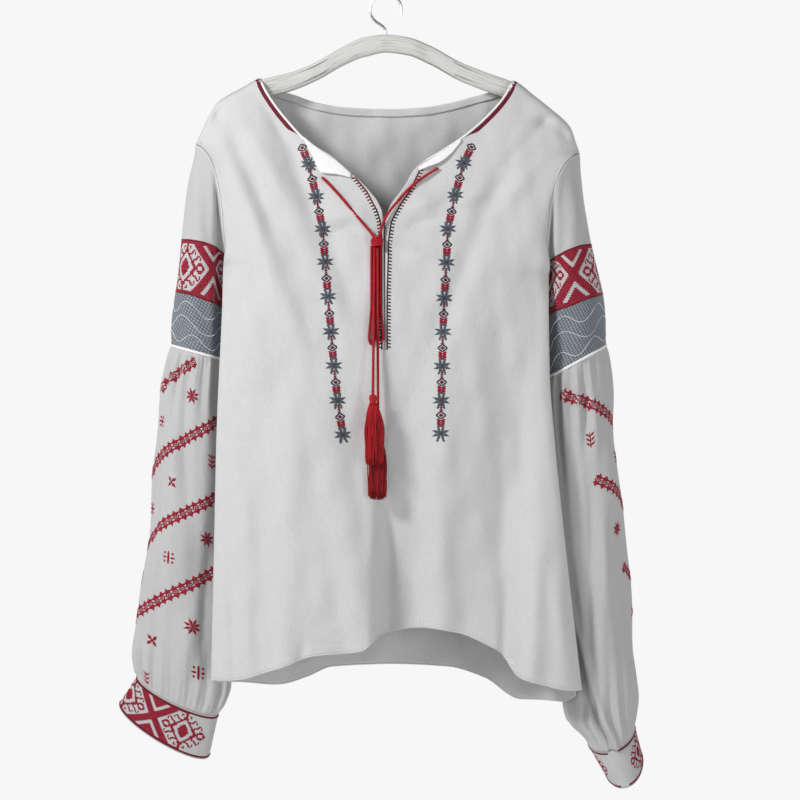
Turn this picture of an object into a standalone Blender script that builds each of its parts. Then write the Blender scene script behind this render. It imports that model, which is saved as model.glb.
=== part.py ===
"""An embroidered peasant blouse on a wooden hanger.

Metres, +Z up. The origin is the hook's seat, where the hanger hangs on a rail. The blouse faces -Y,
and its left side in the front view is -X. Sizes below are in millimetres unless a name says otherwise.
"""
import math

import bmesh
import bpy
import numpy as np

MM = 0.001

# Cloth
WALL = 1.2
SEAM = 0.3
SIDE_COLUMNS = 17
COLUMN_ARC = 1.35
COLUMN_POWER = 1.34
NECK_CORNER = 0.635
ARM_ROWS = 10
BODY_ROWS = 9
BODY_ROW_POWER = 1.023
UNDERARM_SHARE = 0.2274
GATHERS = 16
# The wider seams where two walls meet at an angle: down the side, round the armhole, at the cuff
SIDE_ROOM = 1.45
ARM_ROOM = 1.2
CUFF_ROOM = 0.75
STEEPEST = 1.6

# Hanger
BAR_THICK = 10.0
WIRE = 3.0
HOOK_INNER = 16.0
HOOK_NECK = 7.0
HOOK_LEAN = 1.6
HOOK_START = 222.0
HOOK_END = -25.0
HOOK_SPACING = 4.5
BAR_SIDES = 12
BAR_STATIONS = 11
BAR_TIP_NARROW = 0.45
BAR_TIP_HIGH = 10.0

# Drawstring
CORD = 2.6
CORD_SPACING = 8.4


def table(columns, rows):
    """A short table's columns by name."""
    values = np.array(rows, float)
    return {name: values[:, place] for place, name in enumerate(columns.split())}


# The shoulder line, end to end, and the neck hole's front and back edges
RIDGE = table("x z", [
    (-208.6, -163.7), (-201.3, -148.2), (-193.8, -132.0), (-186.2, -119.6), (-176.0, -112.0),
    (-157.6, -101.9), (-137.5, -91.3), (0.0, -71.5), (138.6, -93.5), (161.7, -110.0),
    (182.6, -126.8), (195.4, -137.5), (203.8, -148.0), (207.9, -160.6), (212.3, -173.1)])
FRONT_NECK = table("x z", [
    (-137.5, -91.3), (-134.2, -100.1), (-125.4, -115.5), (-108.9, -137.5), (-83.0, -165.0),
    (-60.9, -178.9), (-35.2, -200.6), (-16.0, -220.0), (-4.4, -239.3), (-1.5, -256.0),
    (1.1, -240.2), (8.3, -228.8), (20.6, -212.3), (30.8, -194.3), (39.6, -186.4),
    (61.6, -172.7), (85.8, -156.2), (119.9, -124.3), (132.0, -107.8), (138.6, -93.5)])
BACK_NECK = table("x z", [
    (-137.5, -91.3), (-120.0, -102.5), (-99.5, -108.9), (-76.5, -116.4), (-34.3, -122.1),
    (3.3, -123.2), (39.4, -121.7), (70.9, -116.4), (100.3, -108.9), (121.0, -103.5), (138.6, -93.5)])
FRONT_HEM = table("x z", [
    (-190.0, -750.0), (-158.0, -749.0), (-113.0, -736.0), (-74.0, -721.0), (-25.0, -716.0),
    (-6.0, -700.0), (38.0, -693.0), (77.0, -699.0), (106.0, -712.0), (122.0, -722.0),
    (136.0, -744.0), (154.0, -751.0), (190.0, -760.0), (213.0, -761.0)])
BACK_HEM = table("x z", [
    (-190.0, -752.0), (-120.0, -764.0), (-90.0, -756.0), (-60.0, -744.0), (0.0, -742.0),
    (70.0, -744.0), (110.0, -756.0), (150.0, -780.0), (190.0, -778.0), (213.0, -764.0)])

# A panel's side edge on the left and on the right: the armhole down to the underarm, then the side seam
FRONT_EDGE = {
    -1: table("z x y", [
        (-163.7, -208.6, 0.0), (-169.0, -201.0, -13.0), (-178.0, -193.0, -20.0), (-200.0, -184.5, -24.0),
        (-230.0, -179.0, -23.0), (-269.6, -176.0, -16.0), (-284.0, -173.8, -11.0), (-293.7, -172.0, -5.0),
        (-297.0, -171.3, 2.0), (-330.0, -172.0, -12.0), (-480.0, -178.0, -20.0), (-620.0, -181.0, -21.0),
        (-750.0, -184.0, -20.0)]),
    1: table("z x y", [
        (-173.1, 212.3, 0.0), (-178.0, 204.5, -13.0), (-187.0, 195.5, -20.0), (-208.0, 185.0, -24.0),
        (-238.0, 178.5, -23.0), (-279.1, 175.5, -16.0), (-293.5, 173.7, -11.0), (-303.2, 172.2, -5.0),
        (-306.5, 171.5, 2.0), (-340.0, 171.5, -12.0), (-420.0, 172.5, -18.0), (-482.0, 177.0, -20.0),
        (-612.0, 190.0, -21.0), (-761.0, 207.0, -21.0)])}
BACK_EDGE = {
    -1: table("z x y", [
        (-163.7, -208.6, 0.0), (-169.0, -206.0, 15.0), (-178.0, -200.0, 27.0), (-200.0, -191.0, 37.0),
        (-230.0, -181.0, 38.0), (-269.6, -174.5, 30.0), (-284.0, -173.0, 21.0), (-293.7, -171.8, 11.0),
        (-297.0, -171.3, 2.0), (-330.0, -172.0, -12.0), (-480.0, -178.0, -20.0), (-620.0, -181.0, -21.0),
        (-750.0, -184.0, -20.0)]),
    1: table("z x y", [
        (-173.1, 212.3, 0.0), (-178.0, 209.5, 15.0), (-187.0, 203.0, 27.0), (-208.0, 193.0, 37.0),
        (-238.0, 181.5, 38.0), (-279.1, 174.5, 30.0), (-293.5, 173.0, 21.0), (-303.2, 172.0, 11.0),
        (-306.5, 171.5, 2.0), (-340.0, 171.5, -12.0), (-420.0, 172.5, -18.0), (-482.0, 177.0, -20.0),
        (-612.0, 190.0, -21.0), (-761.0, 207.0, -21.0)])}
# The front's side rolls outwards past its seam, below the underarm
LIP = 6.0
LIP_OUT = 0.972
LIP_START = -292.0
LIP_FULL = -345.0

# How far a panel stands out from the shoulder line at its middle, by height
FRONT_DEPTH = table("z depth", [
    (-70.0, 36.0), (-260.0, 47.0), (-400.0, 56.0), (-560.0, 60.0), (-760.0, 66.0)])
BACK_DEPTH = table("z depth", [
    (-70.0, 44.0), (-260.0, 54.0), (-400.0, 56.0), (-560.0, 60.0), (-780.0, 64.0)])
# The back below the underarm turns in behind the sleeve: share of the way out, share of the depth
BACK_TUCK = table("out depth", [
    (0.0, 1.0), (0.3, 0.99), (0.6, 0.93), (0.78, 0.80), (0.87, 0.58), (0.92, 0.36),
    (0.955, 0.16), (1.0, 0.0)])
DROP_LENGTH = 125.0
SHOULDER_ROUND = 9.0

# Soft folds: a line from (x, top) that leans sideways as it falls, out is towards the viewer
FRONT_FOLDS = table("x top bottom lean width out", [
    (-178.0, 150.0, 330.0, 0.35, 13.0, 5.0),
    (-128.0, 120.0, 300.0, 0.42, 15.0, -4.0),
    (-98.0, 330.0, 740.0, -0.03, 26.0, 5.0),
    (-140.0, 420.0, 740.0, 0.02, 20.0, -4.0),
    (-46.0, 420.0, 700.0, 0.02, 22.0, -5.0),
    (64.0, 340.0, 690.0, -0.02, 20.0, 5.0),
    (150.0, 140.0, 330.0, -0.40, 14.0, -4.0),
    (118.0, 300.0, 620.0, 0.05, 18.0, -4.0),
    (160.0, 400.0, 740.0, 0.12, 15.0, 5.0)])
BACK_FOLDS = table("x top bottom lean width out", [
    (-120.0, 170.0, 620.0, 0.03, 24.0, 5.0),
    (-60.0, 260.0, 740.0, -0.02, 22.0, -5.0),
    (10.0, 180.0, 740.0, 0.01, 26.0, 5.0),
    (70.0, 300.0, 740.0, 0.03, 22.0, -5.0),
    (125.0, 200.0, 700.0, 0.06, 24.0, 5.0)])
# The front hem's middle hangs further back than its two sides
LOBE_LEFT = -18.0
LOBE_RIGHT = 124.0
LOBE_TURN = 24.0
LOBE_BACK = 32.0
LOBE_TOP = -470.0
LOBE_FULL = -700.0

# The front slit
SLIT_X = -1.5
SLIT_GAP = 2.2
SLIT_END_ROW = ARM_ROWS + 1

# Sleeve rings, each from an outer to an inner point, with its middle's depth and half its thickness,
# and how much lower its front is than its sides
RING_COLUMNS = "outer_x outer_z inner_x inner_z middle half dip"
UPPER_RINGS = {
    -1: table(RING_COLUMNS, [
        (-216.5, -203.0, -178.0, -304.0, 14.0, 38.0, 0.0),
        (-225.5, -267.0, -176.0, -320.0, 19.0, 43.0, -3.0),
        (-233.0, -324.0, -174.0, -351.0, 25.0, 46.0, 0.0),
        (-237.6, -385.0, -172.0, -403.0, 27.0, 46.0, 0.0)]),
    1: table(RING_COLUMNS, [
        (216.5, -213.0, 177.5, -313.5, 14.0, 38.0, 0.0),
        (226.0, -273.0, 175.5, -329.0, 19.0, 43.0, -3.0),
        (239.0, -327.0, 173.5, -368.0, 25.0, 46.0, 0.0),
        (243.5, -385.0, 172.0, -424.0, 27.0, 46.0, 0.0)])}
LOWER_RINGS = {
    -1: table(RING_COLUMNS, [
        (-237.6, -385.0, -172.0, -403.0, 27.0, 46.0, 0.0),
        (-248.0, -432.0, -171.5, -450.0, 29.0, 47.0, 0.0),
        (-255.0, -510.0, -173.0, -530.0, 29.0, 48.0, 0.0),
        (-263.0, -600.0, -174.0, -622.0, 27.0, 47.0, 0.0),
        (-275.0, -688.0, -173.0, -712.0, 22.0, 41.0, 3.0),
        (-278.0, -724.0, -173.0, -757.0, 12.0, 29.0, 8.0),
        (-275.5, -742.0, -179.0, -780.0, 2.0, 18.0, 10.0),
        (-272.8, -750.0, -184.8, -790.0, 0.0, 15.0, 10.0)]),
    1: table(RING_COLUMNS, [
        (243.5, -385.0, 172.0, -424.0, 27.0, 46.0, 0.0),
        (250.0, -440.0, 172.0, -474.0, 29.0, 47.0, 0.0),
        (257.0, -522.0, 176.0, -550.0, 29.0, 48.0, 0.0),
        (264.5, -612.0, 185.5, -642.0, 28.0, 48.0, 0.0),
        (273.0, -700.0, 194.0, -734.0, 26.0, 47.0, 3.0),
        (277.0, -772.0, 200.5, -796.0, 20.0, 44.0, 8.0),
        (274.5, -796.0, 218.5, -814.0, 15.0, 40.0, 12.0),
        (273.9, -806.0, 223.3, -823.0, 14.0, 38.0, 14.0)])}
CUFF_RINGS = {
    -1: table(RING_COLUMNS, [
        (-272.8, -750.0, -184.8, -790.0, 0.0, 15.0, 10.0),
        (-293.0, -781.0, -195.0, -836.0, -2.0, 15.0, 14.0)]),
    1: table(RING_COLUMNS, [
        (273.9, -806.0, 223.3, -823.0, 14.0, 38.0, 14.0),
        (282.7, -842.0, 243.0, -854.0, 10.0, 38.0, 20.0)])}
UPPER_STATIONS = (0.0, 0.28, 0.5, 0.73, 1.0)
UPPER_ROWS = 7
LOWER_ROW_STATIONS = (0.0, 0.035, 0.13, 0.36, 0.62, 0.86, 0.965, 1.0)
LOWER_COLUMNS = GATHERS * 4
CUFF_COLUMNS = 32
CUFF_ROWS = 2
# A gather's height along the lower sleeve: share of the way down, height
GATHER_HEIGHT = table("down height", [
    (0.0, 0.35), (0.035, 2.0), (0.13, 3.0), (0.36, 1.8), (0.62, 1.6), (0.86, 3.0),
    (0.965, 1.5), (1.0, 0.15)])

# The turned-out facing at each side of the neck: an upper and a lower edge, and how proud it stands
FLAPS = {
    -1: table("upper_x upper_z lower_x lower_z proud", [
        (-91.0, -157.5, -90.0, -161.0, 1.8), (-80.0, -166.5, -80.0, -180.0, 2.4),
        (-66.0, -176.5, -70.0, -198.0, 3.2), (-50.0, -188.0, -53.0, -200.0, 3.6),
        (-38.0, -199.5, -38.5, -203.5, 2.4)]),
    1: table("upper_x upper_z lower_x lower_z proud", [
        (82.0, -160.5, 82.0, -163.5, 1.8), (68.0, -170.5, 70.0, -178.0, 2.6),
        (55.0, -178.5, 58.0, -187.0, 3.0), (43.0, -187.0, 46.0, -191.5, 2.6),
        (35.0, -192.5, 36.5, -195.5, 1.9)])}
FLAP_COLUMNS = 12
FLAP_ROWS = 3
FACING_HIGH = 8.5
FACING_INSET = 0.6
FACING_END = 135.0

# The hanger's upper edge from tip to tip, and how far below it the lower edge lies
BAR_TOP = table("x z high", [
    (-191.0, -131.5, 12.0), (-186.0, -122.3, 17.0), (-176.0, -114.3, 20.0), (-157.6, -104.0, 21.0),
    (-137.5, -93.4, 21.0), (-108.0, -86.0, 21.0), (-76.5, -73.5, 21.0), (-48.0, -57.0, 21.5),
    (-24.0, -46.5, 22.0), (0.0, -43.5, 20.0), (24.0, -46.5, 20.0), (48.0, -55.5, 21.0),
    (80.0, -73.0, 21.0), (110.0, -85.0, 21.0), (138.6, -95.7, 21.0), (161.7, -112.3, 20.0),
    (182.6, -129.3, 17.0), (194.0, -142.0, 10.0)])

# The drawstring's routes: x, z and how far the cord's middle stands off the cloth
LEFT_CORD = ((-69.5, -203.0, 2.6), (-62.0, -210.5, 2.6), (-50.0, -223.5, 2.9), (-37.0, -239.0, 3.4),
             (-25.0, -253.5, 4.2), (-15.6, -264.8, 5.4))
RIGHT_CORD = ((57.0, -193.0, 2.6), (48.0, -198.5, 2.7), (35.0, -207.5, 3.0), (23.0, -218.0, 3.3),
              (12.0, -231.0, 3.7), (2.5, -243.0, 4.1), (-3.0, -254.0, 4.8), (-6.2, -264.8, 5.6))
KNOT_CENTRE = (-10.4, -273.6, 6.6)
KNOT_HALF = (7.6, 5.2, 5.6)
KNOT_LUMPS = 0.06
# Each hanging loop: its two strands at the knot, its round end's middle, radius and lowest point
LOOPS = {"left": (-15.4, -12.2, -15.0, 3.1, -385.3), "right": (-8.9, -5.7, -5.6, 3.1, -383.2)}
LOOP_AWAY = 2.6
# Each tail: x at the knot and at its tassel, the height of its end, and how far off the cloth it ends
TAILS = {"upper": (-12.2, -13.7, -438.7, 17.4), "lower": (-8.9, -8.2, -477.7, 8.2)}
TAIL_AWAY = 5.7
# Each tassel: x, the height of its top, how far off the cloth it hangs, and the height of its strands' ends
TASSELS = {"upper": (-13.7, -439.3, 17.4, -515.0), "lower": (-8.2, -478.2, 8.2, -552.0)}
TASSEL_ACROSS = 4
TASSEL_HEAD_HIGH = 9.0
TASSEL_HEAD_HALF = 4.2
TASSEL_FLATNESS = 0.85
STRAND_FLATNESS = 0.38
STRAND_THIN = 0.7
STRAND_INSET = 0.28
STRAND_UNEVEN = 2.5
# The head's width down its height, as shares, then how a strand's place and half thickness change down it
HEAD_WIDTH = table("down wide", [(0.0, 0.45), (0.22, 0.85), (0.5, 1.0), (0.75, 0.8), (1.0, 0.95)])
STRAND_WIDTH = table("down wide thick", [(0.25, 7.6, 0.95), (0.6, 10.8, 1.3), (1.0, 11.5, 1.3)])


def smooth(known_x, known_y, at):
    """A smooth line through a table's values, or its points, that never overshoots them."""
    order = np.argsort(known_x)
    kx = np.asarray(known_x, float)[order]
    ky = np.asarray(known_y, float)[order]
    step = np.diff(kx)
    wide = step.reshape(-1, *([1] * (ky.ndim - 1)))
    slope = np.diff(ky, axis=0) / wide
    tangent = np.zeros(ky.shape)
    tangent[0] = slope[0]
    tangent[-1] = slope[-1]
    before, after = wide[:-1], wide[1:]
    with np.errstate(divide="ignore", invalid="ignore"):
        inner = (before + after) * 3 / ((2 * after + before) / slope[:-1] + (after + 2 * before) / slope[1:])
    tangent[1:-1] = np.where(slope[:-1] * slope[1:] > 0, inner, 0.0)
    x = np.clip(np.asarray(at, float), kx[0], kx[-1])
    i = np.clip(np.searchsorted(kx, x) - 1, 0, len(step) - 1)
    shape = x.shape + (1,) * (ky.ndim - 1)
    t = np.reshape((x - kx[i]) / step[i], shape)
    rise = ky[i] * (2 * t**3 - 3 * t**2 + 1) + ky[i + 1] * (3 * t**2 - 2 * t**3)
    return rise + np.reshape(step[i], shape) * (tangent[i] * (t**3 - 2 * t**2 + t) + tangent[i + 1] * (t**3 - t**2))


def ease(value):
    """Nought to one with a soft start and end."""
    t = np.clip(value, 0.0, 1.0)
    return t * t * (3 - 2 * t)


def row_shares():
    """How far down a panel each of its rows lies, denser round the armhole."""
    arm = [UNDERARM_SHARE * (0.5 - 0.5 * math.cos(math.pi * i / ARM_ROWS)) for i in range(ARM_ROWS)]
    rest = 1.0 - UNDERARM_SHARE
    body = [UNDERARM_SHARE + rest * (i / BODY_ROWS) ** BODY_ROW_POWER for i in range(BODY_ROWS + 1)]
    return np.array(arm + body)


def column_shares(count=SIDE_COLUMNS):
    """How far out from the middle each column lies, denser at the middle and at the side."""
    turn = np.sin(np.arange(count + 1) / count * COLUMN_ARC) / math.sin(COLUMN_ARC)
    return np.sort(np.append(turn ** COLUMN_POWER, NECK_CORNER))


def half_width(side, out, z, edge):
    """Half the panel's width at a height, which changes more slowly away from its side edge."""
    at_edge = np.abs(smooth(edge["z"], edge["x"], z))
    shoulder = abs(edge["x"][np.argmax(edge["z"])])
    chest = 173.0
    inner = np.where(z > -340.0, chest + (shoulder - chest) * ease((z + 340.0) / 210.0), at_edge)
    return inner + (at_edge - inner) * out**6


def panel_reach(side, out, z, edge, lip):
    """How far from the middle a column lies, with the side rolled out past its seam by a lip."""
    plain = out * half_width(side, out, z, edge)
    if lip == 0.0:
        return plain
    rolled = (half_width(side, out, z, edge) + lip) * min(out / LIP_OUT, 1.0)
    turn = ease((out - LIP_OUT) / (1 - LIP_OUT))
    rolled = rolled + (plain - rolled) * turn
    return plain + (rolled - plain) * ease((LIP_START - z) / (LIP_START - LIP_FULL))


def fold_height(folds, x, z):
    """What the soft folds add to a panel's depth."""
    total = np.zeros(np.broadcast(x, z).shape)
    for i in range(len(folds["x"])):
        top = -folds["top"][i]
        bottom = -folds["bottom"][i]
        middle = folds["x"][i] + folds["lean"][i] * (top - z)
        length = top - bottom
        window = ease((top - z) / (0.35 * length)) * ease((z - bottom + 0.5 * length) / (0.5 * length))
        total = total + folds["out"][i] * window * np.exp(-((x - middle) / folds["width"][i]) ** 2)
    return total


def stand_out(depths, x, z):
    """How far the cloth stands out of the shoulder line's plane, below a rounded shoulder."""
    drop = np.maximum(smooth(RIDGE["x"], RIDGE["z"], x) - z, 0.0)
    round_part = np.minimum(drop, SHOULDER_ROUND) / SHOULDER_ROUND
    rim = SHOULDER_ROUND * np.sqrt(np.maximum(1 - (1 - round_part) ** 2, 0.0))
    full = smooth(depths["z"], depths["depth"], z)
    return rim + (full - SHOULDER_ROUND) * (1 - np.exp(-drop / DROP_LENGTH))


def hem_lobe(x, z):
    """How far back the middle of the front hem hangs."""
    across = ease((x - LOBE_LEFT) / LOBE_TURN) - ease((x - LOBE_RIGHT) / LOBE_TURN)
    return LOBE_BACK * across * ease((LOBE_TOP - z) / (LOBE_TOP - LOBE_FULL))


def front_depth(x, z, out=None):
    """The front panel's y at a place, in its own plane of x and z."""
    side = np.where(x < 0, -1, 1)
    edge_y = np.where(side < 0, smooth(FRONT_EDGE[-1]["z"], FRONT_EDGE[-1]["y"], z),
                      smooth(FRONT_EDGE[1]["z"], FRONT_EDGE[1]["y"], z))
    if out is None:
        edge_x = np.where(side < 0, smooth(FRONT_EDGE[-1]["z"], FRONT_EDGE[-1]["x"], z),
                          smooth(FRONT_EDGE[1]["z"], FRONT_EDGE[1]["x"], z))
        out = np.clip(np.abs(x / edge_x), 0.0, 1.0)
    lens = np.sqrt(np.maximum(1 - out**4, 0.0))
    folded = stand_out(FRONT_DEPTH, x, z) + fold_height(FRONT_FOLDS, x, z) - hem_lobe(x, z)
    return edge_y - (folded + edge_y) * lens


def back_depth(x, z, out):
    """The back panel's y at a place."""
    side = np.where(x < 0, -1, 1)
    edge_y = np.where(side < 0, smooth(BACK_EDGE[-1]["z"], BACK_EDGE[-1]["y"], z),
                      smooth(BACK_EDGE[1]["z"], BACK_EDGE[1]["y"], z))
    lens = np.sqrt(np.maximum(1 - out**4, 0.0))
    tuck = smooth(BACK_TUCK["out"], BACK_TUCK["depth"], out)
    tucked = ease((-235.0 - z) / 85.0)
    shape = lens + (tuck - lens) * tucked
    return edge_y + (stand_out(BACK_DEPTH, x, z) + fold_height(BACK_FOLDS, x, z) - edge_y) * shape


def panel_grid(edges, neck, hem, depth, shares):
    """A panel's points, row by row from its top edge to its hem, and column by column across."""
    rows = row_shares()
    outs = np.concatenate([-shares[:0:-1], shares])
    grid = np.zeros((len(rows), len(outs), 3))
    lip = LIP if depth is front_depth else 0.0
    for column, signed in enumerate(outs):
        side = -1 if signed < 0 else 1
        edge = edges[side]
        out = abs(signed)
        top_x = signed * np.abs(edge["x"][np.argmax(edge["z"])])
        neck_side = neck["x"][0] if side < 0 else neck["x"][-1]
        on_ridge = abs(top_x) >= abs(neck_side)
        line = RIDGE if on_ridge else neck
        top_z = smooth(line["x"], line["z"], top_x)
        hem_x = signed * np.abs(edge["x"][np.argmin(edge["z"])])
        hem_z = smooth(hem["x"], hem["z"], hem_x)
        z = top_z + (hem_z - top_z) * rows
        x = side * panel_reach(side, out, z, edge, lip)
        x = x + (top_x - x[0]) * (1 - ease(rows / 0.3))
        grid[:, column, 0] = x
        grid[:, column, 1] = depth(x, z, np.full(len(z), out))
        grid[:, column, 2] = z
    return grid


def pull_edge(edge, inner, distance):
    """An edge's points moved along the cloth, away from the seam."""
    way = inner - edge
    return edge + way / np.linalg.norm(way, axis=-1, keepdims=True) * np.reshape(distance, (-1, 1))


def front_grid():
    """The front panel, with its side edges and shoulder edges drawn in for the seams."""
    grid = panel_grid(FRONT_EDGE, FRONT_NECK, FRONT_HEM, front_depth, column_shares())
    return seam_room(grid, SEAM / 2)


def back_grid():
    """The back panel, with fewer columns under the neck hole."""
    shares = column_shares()
    kept = [i for i in range(len(shares)) if i > 9 or i % 2 == 0]
    grid = panel_grid(BACK_EDGE, BACK_NECK, BACK_HEM, back_depth, shares[kept])
    return seam_room(grid, SIDE_ROOM)


def seam_room(grid, side_room):
    """Draw a panel's edges in: half a seam at the shoulders, and its own room down the side seams."""
    rows = np.arange(len(grid))
    room = np.where(rows < ARM_ROWS, SEAM / 2, side_room)
    room[ARM_ROWS] = SIDE_ROOM
    drawn = grid.copy()
    fall = grid[0] - grid[1]
    steep = np.clip(fall[:, 2] / np.hypot(fall[:, 0], fall[:, 1]), 0.0, STEEPEST)
    steep[[0, -1]] = STEEPEST
    drawn[0] = pull_edge(grid[0], grid[1], SEAM / 2 + WALL / 2 * steep)
    drawn[:, 0] = pull_edge(drawn[:, 0], drawn[:, 1], room)
    drawn[:, -1] = pull_edge(drawn[:, -1], drawn[:, -2], room)
    return drawn


def armhole(side):
    """The armhole's edge, down its front and up its back."""
    rows = row_shares()[:ARM_ROWS + 1]
    top = FRONT_EDGE[side]["z"].max()
    z = top + (FRONT_EDGE[side]["z"].min() - top) * rows
    front = np.stack([smooth(FRONT_EDGE[side]["z"], FRONT_EDGE[side][a], z) for a in "xy"] + [z], 1)
    back = np.stack([smooth(BACK_EDGE[side]["z"], BACK_EDGE[side][a], z) for a in "xy"] + [z], 1)
    return np.concatenate([front, back[-2:0:-1]])


def ring(outer, inner, middle, half, dip, count):
    """One ring of a sleeve, from its outer point round by the front."""
    angle = np.arange(count) / count * 2 * math.pi
    centre = (outer + inner) / 2
    reach = (outer - inner) / 2
    x = centre[0] + reach[0] * np.cos(angle)
    z = centre[1] + reach[1] * np.cos(angle) - dip * np.sin(angle)
    return np.stack([x, middle - half * np.sin(angle), z], 1)


def table_ring(rings, place, count):
    """The ring at one row of a table."""
    outer = np.array([rings["outer_x"][place], rings["outer_z"][place]])
    inner = np.array([rings["inner_x"][place], rings["inner_z"][place]])
    return ring(outer, inner, rings["middle"][place], rings["half"][place], rings["dip"][place], count)


def upper_sleeve_grid(side):
    """The sleeve from the armhole to the gathers."""
    count = 2 * ARM_ROWS
    hole = armhole(side)
    around = np.arange(count) / count * 2 * math.pi
    lower = 0.5 - 0.5 * np.cos(around)
    behind = 0.9 * np.sin(around) * (around < math.pi)
    away = np.stack([side * (0.2 + 0.75 * lower), behind, -0.98 + 0.68 * lower], 1)
    away /= np.linalg.norm(away, axis=1, keepdims=True)
    first = hole + away * (2 * SEAM + (ARM_ROOM - 2 * SEAM) * ease(lower / 0.15))[:, None]
    rings = [table_ring(UPPER_RINGS[side], i, count) for i in range(len(UPPER_RINGS[side]["middle"]))]
    grid = smooth(UPPER_STATIONS, np.array([first] + rings), np.linspace(0, 1, UPPER_ROWS + 1))
    grid[-1] = pull_edge(grid[-1], grid[-2], np.full(count, SEAM / 2))
    return grid


def ring_normals(grid):
    """The outward directions of a closed grid of rings."""
    across = np.roll(grid, -1, 1) - np.roll(grid, 1, 1)
    down = np.gradient(grid, axis=0)
    normal = np.cross(across, down)
    normal /= np.linalg.norm(normal, axis=2, keepdims=True)
    outward = grid - grid.mean(axis=1, keepdims=True)
    facing = np.sign(np.sum(normal * outward, axis=2).mean())
    return normal * facing


def lower_sleeve_grid(side):
    """The full lower sleeve, gathered into the upper sleeve and into the cuff."""
    rings = LOWER_RINGS[side]
    keys = [table_ring(rings, i, LOWER_COLUMNS) for i in range(len(rings["middle"]))]
    centres = np.array([key.mean(axis=0) for key in keys])
    lengths = np.concatenate([[0], np.cumsum(np.linalg.norm(np.diff(centres, axis=0), axis=1))])
    grid = smooth(lengths / lengths[-1], keys, LOWER_ROW_STATIONS)
    normal = ring_normals(grid)
    height = smooth(GATHER_HEIGHT["down"], GATHER_HEIGHT["height"], np.array(LOWER_ROW_STATIONS))
    wave = np.cos(np.arange(LOWER_COLUMNS) / LOWER_COLUMNS * 2 * math.pi * GATHERS)
    grid = grid + normal * (height[:, None] * wave[None, :])[:, :, None]
    grid[0] = pull_edge(grid[0], grid[1], np.full(LOWER_COLUMNS, SEAM))
    grid[-1] = pull_edge(grid[-1], grid[-2], np.full(LOWER_COLUMNS, CUFF_ROOM))
    return grid


def cuff_grid(side):
    """A cuff, a short flattened tube."""
    keys = [table_ring(CUFF_RINGS[side], i, CUFF_COLUMNS) for i in range(2)]
    grid = np.array([keys[0] + (keys[1] - keys[0]) * t for t in np.linspace(0, 1, CUFF_ROWS + 1)])
    grid[0] = pull_edge(grid[0], grid[1], np.full(CUFF_COLUMNS, SEAM))
    return grid


def facing_grid():
    """The facing inside the back of the neck hole, from the back panel's own points."""
    back = back_grid()
    kept = [i for i in range(back.shape[1]) if abs(back[0, i, 0]) < FACING_END]
    down = row_shares()
    rows = []
    for share in (0.0, 0.5, 1.0):
        row = []
        for i in kept:
            column = back[:, i]
            length = column[0, 2] - column[-1, 2]
            point = smooth(down * length, column, FACING_INSET + FACING_HIGH * share)
            row.append(point - (0.0, WALL + SEAM + 0.1, 0.0))
        rows.append(row)
    return np.array(rows)


def flap_grid(side):
    """The facing turned out at one side of the neck hole."""
    edges = FLAPS[side]
    steps = np.arange(len(edges["proud"]))
    at = np.linspace(0, steps[-1], FLAP_COLUMNS + 1)
    rows = []
    for share in np.linspace(0, 1, FLAP_ROWS + 1):
        upper = [smooth(steps, edges["upper_" + a], at) for a in "xz"]
        lower = [smooth(steps, edges["lower_" + a], at) for a in "xz"]
        x = upper[0] + (lower[0] - upper[0]) * share
        z = upper[1] + (lower[1] - upper[1]) * share
        proud = 1.9 + (smooth(steps, edges["proud"], at) - 1.9) * math.sin(share * math.pi / 2)
        rows.append(np.stack([x, front_depth(x, z) - proud, z], 1))
    return np.array(rows)


def material(name, colour, roughness, metallic=0.0):
    """A plain Principled material."""
    made = bpy.data.materials.new(name)
    made.use_nodes = True
    shader = made.node_tree.nodes["Principled BSDF"]
    shader.inputs["Base Color"].default_value = (*colour, 1.0)
    shader.inputs["Roughness"].default_value = roughness
    shader.inputs["Metallic"].default_value = metallic
    made.diffuse_color = (*colour, 1.0)
    return made


def split_quads(points, faces):
    """Each four-sided face as two triangles, parted along its shorter diagonal."""
    parted = []
    for a, b, c, d in faces:
        if math.dist(points[a], points[c]) <= math.dist(points[b], points[d]):
            parted += [(a, b, c), (a, c, d)]
        else:
            parted += [(a, b, d), (b, c, d)]
    return parted


def add_object(name, points, faces, finish):
    """A mesh object from points in millimetres."""
    mesh = bpy.data.meshes.new(name)
    mesh.from_pydata([tuple(float(v) * MM for v in p) for p in points], [], faces)
    mesh.materials.append(finish)
    mesh.shade_smooth()
    made = bpy.data.objects.new(name, mesh)
    bpy.context.scene.collection.objects.link(made)
    return made


def thicken(made, wall=WALL):
    """Give a sheet its wall, half on each side."""
    solid = made.modifiers.new("wall", "SOLIDIFY")
    solid.thickness = wall * MM
    solid.offset = 0.0
    return made


def add_sheet(name, grid, finish, closed=False):
    """A cloth piece from a grid of points."""
    rows, columns = grid.shape[:2]
    last = columns if closed else columns - 1
    faces = []
    for row in range(rows - 1):
        for column in range(last):
            after = (column + 1) % columns
            faces.append((row * columns + column, (row + 1) * columns + column,
                          (row + 1) * columns + after, row * columns + after))
    points = grid.reshape(-1, 3)
    return thicken(add_object(name, points, split_quads(points, faces), finish))


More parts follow.
